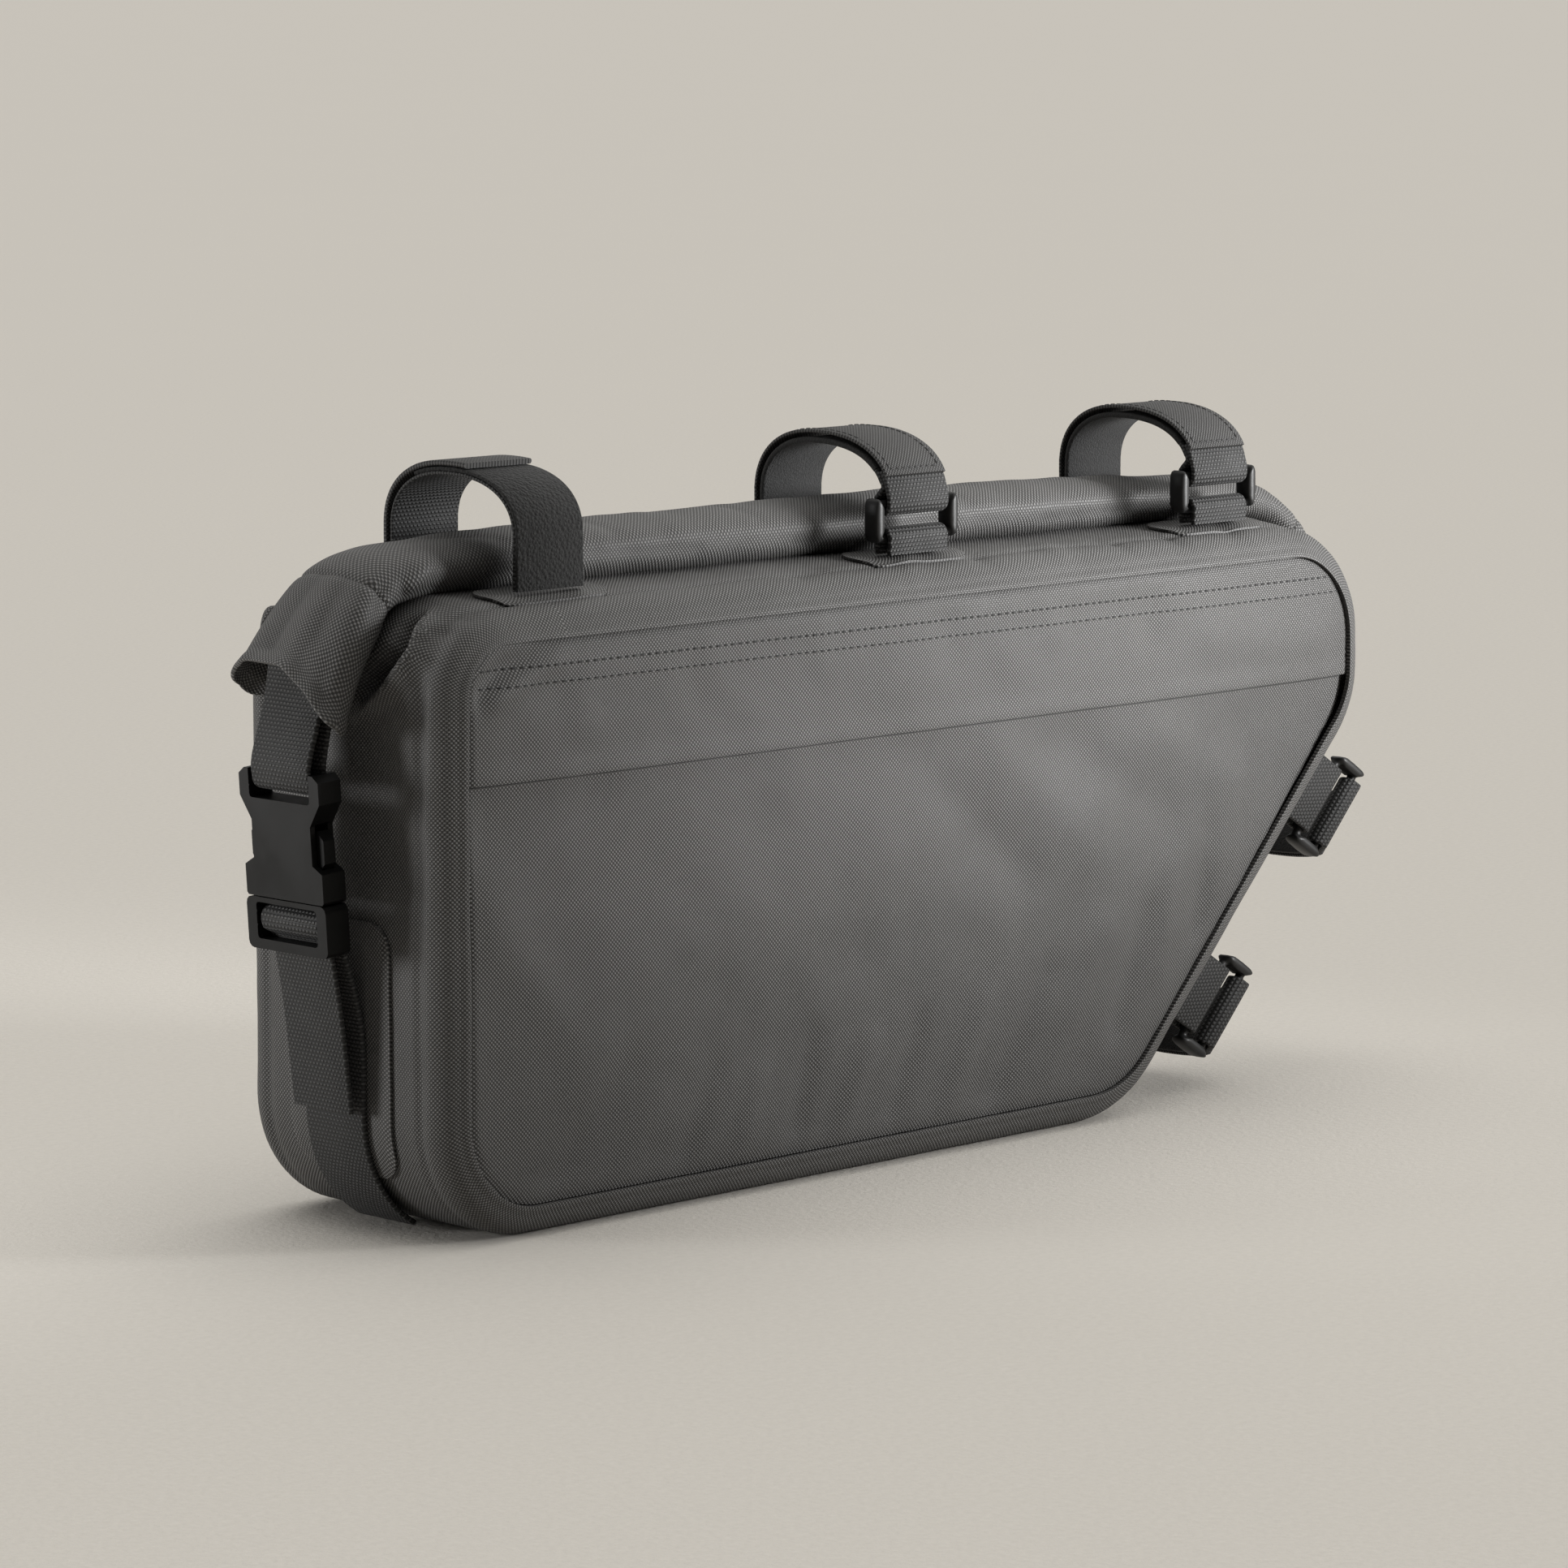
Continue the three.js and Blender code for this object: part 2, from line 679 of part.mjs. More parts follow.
function makeSocket() {
  const halfWidth = buckleWidth / 2;
  const outline = mirroredOutline(socketOutline.map(({ wide, up }) => [wide * halfWidth, up * socketHeight]));
  const slotTop = socketHeight - 1.5 * barThickness;
  const slot = slotOutline(webbingSlotWidth, slotTop - slideSlotHeight, slotTop);
  const solid = standAcross(plate(outline, buckleThickness, [slot]));
  const body = wrapRoom(solid, webbingSlotWidth, slotTop - clearance, socketHeight + barThickness);
  const cavity = new THREE.BoxGeometry(cavityThickness, cavityWidth, 2 * cavityHeight);
  bucklePiece('buckle_socket', cut(body, cavity), buckleTopHeight - socketHeight);
}

function makePlug() {
  const halfWidth = buckleWidth / 2;
  const top = plugHeight - clearance;
  const frame = movedPoints(roundedRectangle(buckleWidth, top, buckleCornerRound), 0, top / 2);
  const upperSlot = [plugBarRise + barThickness / 2, top - barThickness / 2];
  const lowerSlot = [barThickness, plugBarRise - barThickness / 2];
  const slots = [upperSlot, lowerSlot].map(([from, to]) => slotOutline(webbingSlotWidth, from, to));
  const solid = standAcross(plate(frame, buckleThickness, slots));
  const ladder = wrapRoom(
    solid,
    webbingSlotWidth,
    lowerSlot[1] - clearance,
    upperSlot[0] + clearance,
  );
  const tailRoom = new THREE.BoxGeometry(buckleThickness, webbingSlotWidth, plugBarRise);
  tailRoom.translate(buckleThickness / 2, 0, 0);
  const armThickness = cavityThickness - 2 * clearance;
  const armUp = (up) => top + up * socketHeight;
  const arm = armOutline.map(({ wide, up }) => [wide * halfWidth, armUp(up)]);
  const mirroredArm = arm.map(([w, h]) => [-w, h]).reverse();
  const guideTop = top + guideShare * socketHeight;
  const guide = slotOutline(halfWidth / 2, upperSlot[1] + clearance, guideTop);
  const parts = [arm, mirroredArm, guide].map((outline) => standAcross(plate(outline, armThickness)));
  const plug = parts.reduce((whole, part) => join(whole, part), cut(ladder, tailRoom));
  bucklePiece('buckle_plug', plug, buckleTopHeight - socketHeight - plugHeight);
}

// Points outside the band, at a distance from it, in the plane of X and Z
function outsideBand(arc, distance) {
  return arc.map((station) => [station.x + station.nx * distance, station.z + station.nz * distance]);
}

const overPatch = patchThickness + 2 * clearance + webbingThickness / 2 + endBulge;

// Bend of the lower webbing under the plug's bar: beside the bar and below it, in wrap radii
const tailBend = [
  { beside: -1, below: 0.55 },
  { beside: -0.7, below: 1.1 },
  { beside: 0.1, below: 1.3 },
  { beside: 0.6, below: 1.8 },
];
const tailBehindBar = 0.8;
const footBeforeBar = 2.6;

function makeLowerWebbing() {
  const bar = [buckleX(plugBarHeight), plugBarHeight];
  const foot = outsideBand(bottomLeftArc, overPatch).slice(0, 5);
  const footTop = foot[0];
  const belowBar = plugBarHeight - plugBarRise;
  const path = [
    ...foot.reverse(),
    [footTop[0], (footTop[1] + plugBarHeight) / 2],
    [bar[0] + footBeforeBar * halfWrap, belowBar],
    ...wrapPoints(bar, halfWrap, 0, 180, 6),
    ...tailBend.map(({ beside, below }) => [bar[0] + beside * halfWrap, bar[1] - below * halfWrap]),
    [bar[0] + tailBehindBar * halfWrap, belowBar],
    [(bar[0] + tailBehindBar * halfWrap + bodyX(-tailStandOff)) / 2, belowBar - tailLength / 2 + tailBow],
    [bodyX(-tailStandOff), belowBar - tailLength],
  ];
  addPiece('webbing_lower', standUpright(ribbon(path, webbingThickness, webbingWidth)), webbingCloth);
}

function makeEndPatch() {
  const lift = endBulge + clearance + patchThickness / 2;
  const corner = outsideBand(bottomLeftArc, lift).slice(0, 3);
  const path = [[corner[0][0], endPatchTop], ...corner];
  const strip = standUpright(ribbon(path, patchThickness, endPatchWidth));
  const bottom = corner[2][1];
  const outline = roundedRectangle(endPatchWidth, endPatchTop - bottom - clearance, endPatchRound);
  const window = standAcross(plate(movedPoints(outline, 0, (endPatchTop + bottom) / 2), bagLength));
  window.translate(corner[0][0], 0, 0);
  addPiece('end_patch', keepWithin(strip, window), bodyCloth);
}

function makeRightWebbing() {
  const tab = tabPath(rollSectionFrame(rollSections[rollSections.length - 1]), rightTabReach);
  const wall = outsideBand(rightLowerArc, endBulge + clearance + webbingThickness / 2).reverse();
  const hem = tab[tab.length - 1];
  const inTab = tab[tab.length - 3];
  const path = [
    [inTab.x, inTab.y],
    [hem.x, hem.y],
    [hem.x, hem.y - hemSkew],
    ...wall.slice(0, 3),
  ];
  addPiece('webbing_right', standUpright(ribbon(path, webbingThickness, webbingWidth)), webbingCloth);
}

// Patch on the top band at the front foot of a strap
function makeStrapPatch(name, centre) {
  const lift = clearance + patchThickness / 2;
  const path = [-1, -0.67, -0.49].map((share) => {
    const y = share * flatHalf;
    return [y, topSurface(y) + lift];
  });
  const strip = standAcross(ribbon(path, patchThickness, strapPatchLength));
  const depth = path[2][0] - path[0][0];
  const outline = roundedRectangle(strapPatchLength, depth - clearance, strapPatchRound);
  const window = plate(movedPoints(outline, 0, (path[0][0] + path[2][0]) / 2), bagHeight);
  window.translate(0, 0, bagHeight);
  const patch = keepWithin(strip, window);
  patch.translate(bodyX(centre), 0, 0);
  addPiece(name, patch, bodyCloth);
}

// Straps. Each is drawn in a plane of its own: depth of the bag across, height above the band up
// Arch from the front leg (180 degrees) to the back leg (0), moved in by an inset
function archPoint(size, degrees, inset) {
  const angle = THREE.MathUtils.degToRad(degrees);
  const c = Math.cos(angle);
  const s = Math.max(Math.sin(angle), 0);
  const halfSpan = (c < 0 ? size.frontSpan : size.backSpan) - inset;
  return [
    halfSpan * Math.sign(c) * Math.abs(c) ** size.roundness,
    size.leg + (size.height - inset - size.leg) * s ** size.roundness,
  ];
}

function archPath(size, from, to, inset = 0, steps = 12) {
  return Array.from({ length: steps + 1 }, (_, k) => {
    const degrees = from + (to - from) * k / steps;
    return archPoint(size, degrees, inset);
  });
}

// Angle on the front half of the arch where it reaches a height
function archAngle(size, height, inset) {
  const share = (height - size.leg) / (size.height - inset - size.leg);
  const rise = THREE.MathUtils.clamp(share, 0, 1) ** (1 / size.roundness);
  return 180 - THREE.MathUtils.radToDeg(Math.asin(rise));
}

function strapHolder(place) {
  const holder = new THREE.Group();
  holder.position.set(place.x, 0, place.z);
  holder.rotation.y = place.turn;
  bag.add(holder);
  return holder;
}

// Leans a standing piece along X as it rises from the band
function leaned(geometry, lean) {
  return geometry.applyMatrix4(new THREE.Matrix4().makeShear(0, 0, 0, 0, -Math.tan(lean), 0));
}

function strapRibbon(path, thickness, width, lean) {
  return leaned(standAcross(ribbon(path, thickness, width)), lean);
}

function slideBuckle(rise, lean) {
  const pitch = slideSlotHeight + barThickness;
  const height = 2 * pitch + barThickness;
  const frame = roundedRectangle(slideBuckleWidth, height, slideCornerRound);
  const outline = movedPoints(frame, 0, rise + height / 2);
  const slots = [0, 1].map((k) => {
    const from = rise + barThickness + k * pitch;
    return slotOutline(strapWidth + 2 * clearance, from, from + slideSlotHeight);
  });
  const buckle = plate(outline, slideBuckleThickness, slots);
  buckle.applyMatrix4(new THREE.Matrix4().makeBasis(
    new THREE.Vector3(1, 0, 0),
    new THREE.Vector3(0, 0, 1),
    new THREE.Vector3(0, -1, 0),
  ));
  buckle.translate(0, -strapHalfSpan, 0);
  return leaned(buckle, lean);
}

const slideWrap = slideBuckleThickness / 2 + wrapClearance + webbingThickness / 2;

function makeBuckledStrap(name, place, size, rise, lean, foot) {
  const holder = strapHolder(place);
  const lowerBar = rise + barThickness / 2;
  const upperBar = lowerBar + 2 * (slideSlotHeight + barThickness);
  const arch = { ...size, frontSpan: strapHalfSpan + slideWrap, backSpan: strapHalfSpan };
  const foldIn = webbingThickness + clearance;
  const sewnFrom = archAngle(arch, upperBar + 1.7 * barThickness, foldIn);
  const sewnBack = archPath(arch, sewnFrom - sewnTurn, sewnFrom, foldIn, 2);
  const turnBelow = wrapPoints([-strapHalfSpan, upperBar], slideWrap, 0, -180, 6);
  const barTop = upperBar + barThickness / 2 + clearance;
  const pastBar = [slideWrap, -slideWrap].map((off) => [off - strapHalfSpan, barTop]);
  const over = archPath(arch, archAngle(arch, barTop + barThickness, 0), 0);
  const band = [...sewnBack, pastBar[0], ...turnBelow, pastBar[1], ...over, [strapHalfSpan, clearance]];
  const bandGeometry = strapRibbon(band, webbingThickness, strapWidth, lean);
  addPiece(`${name}_band`, bandGeometry, webbingCloth, holder);

  const liningIn = (webbingThickness + liningThickness) / 2 + clearance;
  const liningFrom = sewnFrom - sewnTurn - liningGap;
  const lining = [...archPath(arch, liningFrom, 0, liningIn, 9), [strapHalfSpan - liningIn, clearance]];
  const liningGeometry = strapRibbon(lining, liningThickness, strapWidth, lean);
  addPiece(`${name}_lining`, liningGeometry, pileCloth, holder);

  const anchor = [
    [-strapHalfSpan - slideWrap * 0.9, foot],
    ...wrapPoints([-strapHalfSpan, lowerBar], slideWrap, 180, 0, 6),
    [-strapHalfSpan + slideWrap * 0.9, foot],
  ];
  const anchorWidth = strapWidth - 2 * clearance;
  const anchorGeometry = strapRibbon(anchor, webbingThickness, anchorWidth, lean);
  addPiece(`${name}_anchor`, anchorGeometry, webbingCloth, holder);
  addPiece(`${name}_buckle`, slideBuckle(rise, lean), blackPlastic, holder);
}

const patchFoot = patchThickness + 3 * clearance;

function makeTopStraps() {
  const baseZ = topSurface(strapHalfSpan - slideWrap);
  const size = { leg: topStrapLeg, height: topStrapHeight, roundness: topStrapRoundness };
  topStrapCentres.forEach((centre, k) => {
    const number = k + 1;
    makeStrapPatch(`strap_patch_${number}`, centre);
    const place = { x: bodyX(centre), z: baseZ, turn: 0 };
    if (k === 0) {
      makePileStrap(`strap_${number}`, place, size);
    } else {
      makeBuckledStrap(`strap_${number}`, place, size, topBuckleRise, 0, patchFoot);
    }
  });
}

// First strap: a pile band from the front foot, closed by an end band from the back foot
function makePileStrap(name, place, size) {
  const holder = strapHolder(place);
  const over = (pileThickness + webbingThickness) / 2 + clearance;
  const spans = { frontSpan: strapHalfSpan, backSpan: strapHalfSpan };
  const arch = { ...size, ...spans, height: size.height - over };
  const pile = [[-strapHalfSpan, patchFoot], ...archPath(arch, 180, 20, 0, 13)];
  const pileGeometry = strapRibbon(pile, pileThickness, strapWidth, 0);
  addPiece(`${name}_pile_band`, pileGeometry, pileCloth, holder);
  const endBand = [...archPath(arch, 102, 0, -over, 9), [strapHalfSpan + over, clearance]];
  const endGeometry = strapRibbon(endBand, webbingThickness, strapWidth, 0);
  addPiece(`${name}_end_band`, endGeometry, webbingCloth, holder);
}

function makeSlantedStraps() {
  const lean = THREE.MathUtils.degToRad(slantedStrapTilt);
  const size = {
    leg: slantedStrapLeg,
    height: slantedStrapHeight,
    roundness: slantedStrapRoundness,
  };
  const swell = bandBulge({ nx: Math.sin(slantAngle), nz: 0 }, 0);
  slantedStrapCentres.forEach((along, k) => {
    const place = {
      x: bodyX(baseLength + along * Math.cos(slantAngle) + swell * Math.sin(slantAngle)),
      z: along * Math.sin(slantAngle) - swell * Math.cos(slantAngle),
      turn: Math.PI - slantAngle,
    };
    const name = `strap_${k + topStrapCentres.length + 1}`;
    makeBuckledStrap(name, place, size, slantedBuckleRise, lean, clearance);
  });
}

makeGusset();
makePanels();
makePocketFlap();
makeRoll();
makeTab('roll_tab_left', rollSections[0], -1, leftTabReach, tabWidth);
makeTab('roll_tab_right', rollSections[rollSections.length - 1], 1, rightTabReach, rightTabWidth);
makeUpperWebbing();
makeSocket();
makePlug();
makeLowerWebbing();
makeEndPatch();
makeRightWebbing();
makeTopStraps();
makeSlantedStraps();

export default bag;
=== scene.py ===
import math

import bmesh
import bpy
import numpy as np
from mathutils import Matrix, Vector, noise


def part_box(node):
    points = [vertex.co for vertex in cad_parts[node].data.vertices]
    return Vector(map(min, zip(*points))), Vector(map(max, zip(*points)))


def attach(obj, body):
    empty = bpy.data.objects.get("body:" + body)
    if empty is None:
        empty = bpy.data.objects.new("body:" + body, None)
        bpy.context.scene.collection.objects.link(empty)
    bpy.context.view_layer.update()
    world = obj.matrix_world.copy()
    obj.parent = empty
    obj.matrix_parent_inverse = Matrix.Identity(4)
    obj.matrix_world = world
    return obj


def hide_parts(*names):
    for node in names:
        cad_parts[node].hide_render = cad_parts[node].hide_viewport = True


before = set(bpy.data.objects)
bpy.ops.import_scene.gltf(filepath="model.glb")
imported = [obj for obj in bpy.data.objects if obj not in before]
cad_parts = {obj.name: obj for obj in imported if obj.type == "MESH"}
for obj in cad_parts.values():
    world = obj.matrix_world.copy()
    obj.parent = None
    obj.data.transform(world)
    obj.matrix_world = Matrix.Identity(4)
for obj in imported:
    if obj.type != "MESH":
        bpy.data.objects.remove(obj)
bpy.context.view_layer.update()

# Sizes of the bag, in metres. X runs along the bag, Y through its depth, Z up
MM = 0.001
BAG_LENGTH = 406 * MM
BAG_HEIGHT = 183 * MM
BAG_DEPTH = 88 * MM
BASE_LENGTH = 293 * MM
RIGHT_SIDE_HEIGHT = 61 * MM
EDGE_ROUND = 9.5 * MM
FLAT_HALF = BAG_DEPTH / 2 - EDGE_ROUND
CLOTH = 1.5 * MM
GAP = 0.3 * MM
TOP_CROWN = 2.4 * MM
END_BULGE = 0.5 * MM
PANEL_BULGE = 3 * MM
PANEL_REACH = 88 * MM
FLAP_EDGE = 133.5 * MM
FLAP_HEM_LIFT = 0.5 * MM
LAYER_STEP = CLOTH + GAP
SEAM_SINK = 0.7 * MM
WEBBING = 25 * MM
WEBBING_THICK = 1.6 * MM
STRAP = 26 * MM
FAR = 9.0

SLANT_RUN = BAG_LENGTH - BASE_LENGTH
SLANT_RISE = BAG_HEIGHT - RIGHT_SIDE_HEIGHT
SLANT = math.atan2(SLANT_RISE, SLANT_RUN)
LEFT_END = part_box("gusset")[0].x + END_BULGE

# Corners of the outline from the bottom left, with the radius of each
CORNERS = [
    {"x": 0, "z": 0, "radius": 36 * MM},
    {"x": BASE_LENGTH, "z": 0, "radius": 45 * MM},
    {"x": BAG_LENGTH, "z": SLANT_RISE, "radius": 35 * MM},
    {"x": BAG_LENGTH, "z": BAG_HEIGHT, "radius": 37 * MM},
    {"x": 0, "z": BAG_HEIGHT, "radius": 25 * MM},
]


def smoothstep(value, low, high):
    share = np.clip((value - low) / (high - low), 0, 1)
    return share * share * (3 - 2 * share)


# The bag's outline as tables of places and outward normals against the way round it
def corner_arc(corner, before, after, step=math.radians(3)):
    here = Vector((corner["x"], corner["z"]))
    inward = (here - Vector((before["x"], before["z"]))).normalized()
    onward = (Vector((after["x"], after["z"])) - here).normalized()
    turn = math.acos(inward.dot(onward))
    radius = corner["radius"]
    centre = here - inward * radius * math.tan(turn / 2) + Vector((-inward.y, inward.x)) * radius
    count = math.ceil(turn / step)
    first = math.atan2(-inward.x, inward.y)
    angles = [first + turn * k / count for k in range(count + 1)]
    return [(centre + Vector((math.cos(a), math.sin(a))) * radius, a) for a in angles]


def outline_table():
    rows = []
    for k, corner in enumerate(CORNERS):
        rows += corner_arc(corner, CORNERS[k - 1], CORNERS[(k + 1) % len(CORNERS)])
    rows.append(rows[0])
    places = np.array([(place.x + LEFT_END, place.y) for place, angle in rows])
    angles = np.unwrap([angle for place, angle in rows])
    steps = np.linalg.norm(np.diff(places, axis=0), axis=1)
    way = np.concatenate([[0], np.cumsum(steps)])
    return {"way": way, "x": places[:, 0], "z": places[:, 1], "angle": angles}


OUTLINE = outline_table()
ROUND_TRIP = OUTLINE["way"][-1]


def outline_at(way):
    """Place and outward normal in X and Z, at a way round the outline from its bottom left."""
    turned = np.mod(way, ROUND_TRIP)
    x, z, angle = (np.interp(turned, OUTLINE["way"], OUTLINE[key]) for key in ("x", "z", "angle"))
    return x, z, np.cos(angle), np.sin(angle)


def way_to(x, z):
    """The way round the outline to the place nearest to a point."""
    ways = np.linspace(0, ROUND_TRIP, 4000)
    px, pz, _, _ = outline_at(ways)
    return float(ways[np.argmin((px - x) ** 2 + (pz - z) ** 2)])


WAY_LEFT_TOP = way_to(LEFT_END + 7 * MM, BAG_HEIGHT - 7 * MM)


# Making and finishing pieces
def deselect():
    bpy.ops.object.select_all(action="DESELECT")


def choose(piece):
    deselect()
    piece.select_set(True)
    bpy.context.view_layer.objects.active = piece


def edit(piece):
    """Opens a piece in edit mode with nothing on it selected."""
    choose(piece)
    bpy.ops.object.mode_set(mode="EDIT")
    bpy.ops.mesh.select_all(action="DESELECT")


def edit_all(piece):
    """Opens a piece in edit mode with all of it selected."""
    edit(piece)
    bpy.ops.mesh.select_all(action="SELECT")


def close():
    bpy.ops.object.mode_set(mode="OBJECT")


def close_outward():
    """Turns all faces outward and leaves edit mode."""
    bpy.ops.mesh.select_all(action="SELECT")
    bpy.ops.mesh.normals_make_consistent(inside=False)
    close()


def pick_faces(piece, test):
    """In edit mode, selects the faces whose middle passes the test, and no others."""
    bpy.ops.mesh.select_all(action="DESELECT")
    bpy.ops.mesh.select_mode(type="FACE")
    form = bmesh.from_edit_mesh(piece.data)
    for face in form.faces:
        if test(sum((corner.co for corner in face.verts), Vector()) / len(face.verts)):
            face.select_set(True)
    form.select_flush_mode()
    bmesh.update_edit_mesh(piece.data)


def finish_with(piece, kind, **settings):
    """Adds a modifier with its settings and applies it."""
    modifier = piece.modifiers.new(kind.lower(), kind)
    for key, value in settings.items():
        setattr(modifier, key, value)
    choose(piece)
    bpy.ops.object.modifier_apply(modifier=modifier.name)


def thicken(sheet, thickness=CLOTH):
    """Gives a sheet its thickness, inward from its outer skin."""
    finish_with(sheet, "SOLIDIFY", thickness=thickness, offset=-1)


def round_edges(piece, width, segments=3, sharp=1.0):
    """Rounds the edges where faces turn by more than an angle."""
    finish_with(
        piece, "BEVEL", width=width, segments=segments, limit_method="ANGLE", angle_limit=sharp
    )


def shade(piece, angle):
    choose(piece)
    bpy.ops.object.shade_smooth_by_angle(angle=math.radians(angle))
    return piece


def lofted(name, rows, closed=False):
    """Sheet lofted through rows of points from a grid; a closed one's last row meets its first."""
    rows = np.asarray(rows, dtype=float)
    if closed:
        rows = np.concatenate([rows, rows[:1]])
    count, length = rows.shape[:2]
    deselect()
    bpy.ops.mesh.primitive_grid_add(x_subdivisions=length - 1, y_subdivisions=count - 1, size=1)
    sheet = bpy.context.object
    sheet.name = name
    sheet.data.vertices.foreach_set("co", rows.reshape(-1))
    lay_cloth(sheet, rows)
    if closed:
        edit_all(sheet)
        bpy.ops.mesh.remove_doubles(threshold=0.01 * MM)
        close()
    return sheet


EASE_STEPS = 110
EASE_PULL = 0.07


def vertex_places(piece):
    places = np.empty(len(piece.data.vertices) * 3)
    piece.data.vertices.foreach_get("co", places)
    return places.reshape(-1, 3)


def lay_map(piece, flat):
    """Weave map of a piece, in metres, from a flat place for each of its vertices."""
    layers = piece.data.uv_layers
    corners = np.empty(len(piece.data.loops), dtype=int)
    piece.data.loops.foreach_get("vertex_index", corners)
    while layers:
        layers.remove(layers[0])
    layers.new(name="weave").data.foreach_set("uv", flat[corners].ravel())


def lay_cloth(sheet, rows):
    """Weave map of a lofted sheet, eased toward the true lengths of its edges and diagonals."""
    count, length = rows.shape[:2]
    across = np.linalg.norm(np.diff(rows, axis=1), axis=2).mean(0)
    along = np.linalg.norm(np.diff(rows, axis=0), axis=2).mean(1)
    flat = np.empty((count, length, 2))
    flat[:, :, 0] = np.concatenate([[0], np.cumsum(across)])
    flat[:, :, 1] = np.concatenate([[0], np.cumsum(along)])[:, None]
    every, first, rest = slice(None), slice(None, -1), slice(1, None)
    links = [
        ((every, first), (every, rest)), ((first, every), (rest, every)),
        ((first, first), (rest, rest)), ((first, rest), (rest, first)),
    ]
    goals = [np.linalg.norm(rows[b] - rows[a], axis=2) for a, b in links]
    for _ in range(EASE_STEPS):
        move = np.zeros_like(flat)
        for (a, b), goal in zip(links, goals):
            step = flat[b] - flat[a]
            size = np.maximum(np.linalg.norm(step, axis=2), 0.001 * MM)
            pull = step * (EASE_PULL * (goal - size) / size)[..., None]
            move[b] += pull
            move[a] -= pull
        flat += move
    lay_map(sheet, flat.reshape(-1, 2))


def form_of(node, name):
    """Copy of a CAD node's form with its triangles merged into one skin."""
    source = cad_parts[node]
    piece = bpy.data.objects.new(name, source.data.copy())
    bpy.context.scene.collection.objects.link(piece)
    piece.data.materials.clear()
    edit_all(piece)
    bpy.ops.mesh.remove_doubles(threshold=0.002 * MM)
    wide_angle = math.radians(60)
    bpy.ops.mesh.tris_convert_to_quads(face_threshold=wide_angle, shape_threshold=wide_angle)
    close_outward()
    return piece


def wear(piece, slot, material, *nodes):
    """Gives a finished piece its material and its body, and hides the CAD nodes that it stands for.
    """
    piece.data.materials.clear()
    piece.data.materials.append(material)
    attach(piece, "root")
    if nodes:
        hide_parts(*nodes)
    return piece


# Soft surface: folds and dents, each along a path of places, with its half width and its height or
# heights in millimetres. Places are from the left end, through the depth and up
def fold_along(path, wide, high, lean=None):
    return {"path": path, "wide": wide, "high": high, "lean": lean}


def fold(start, end, wide, high):
    return fold_along([start, end], wide, high)


def fold_shape(points, crease):
    """Height of a fold's crest nearest to each point, and how much of it the point gets."""
    spots = np.array(crease["path"]) * MM + (LEFT_END, 0, 0)
    heights = np.broadcast_to(crease["high"], len(spots)) * MM
    nearest = np.full(points.shape[:-1], FAR)
    crest = np.zeros(points.shape[:-1])
    for start, end, first, last in zip(spots, spots[1:], heights, heights[1:]):
        run = end - start
        share = np.clip((points - start) @ run / (run @ run), 0, 1)
        off = np.linalg.norm(points - start - share[..., None] * run, axis=-1)
        crest = np.where(off < nearest, first + (last - first) * share, crest)
        nearest = np.minimum(nearest, off)
    return crest, np.exp(-(nearest / (crease["wide"] * MM)) ** 2)


def fold_height(points, folds):
    total = np.zeros(points.shape[:-1])
    for crease in folds:
        crest, share = fold_shape(points, crease)
        total += crest * share
    return total


def fold_lean(points, folds):
    """Sideways shift of the folds that hang over, each by its crest's height times its lean."""
    total = np.zeros(points.shape)
    for crease in folds:
        if crease["lean"]:
            crest, share = fold_shape(points, crease)
            total += (crest * share)[..., None] * np.array(crease["lean"])
    return total


def unevenness(points, waves):
    """Slight waviness of handled cloth: the sum of waves, each with a size and a height."""
    total = np.zeros(points.shape[:-1])
    for size, high in waves:
        flat = points.reshape(-1, 3) / size
        values = [noise.noise(Vector(place)) for place in flat]
        total += high * np.array(values).reshape(total.shape)
    return total


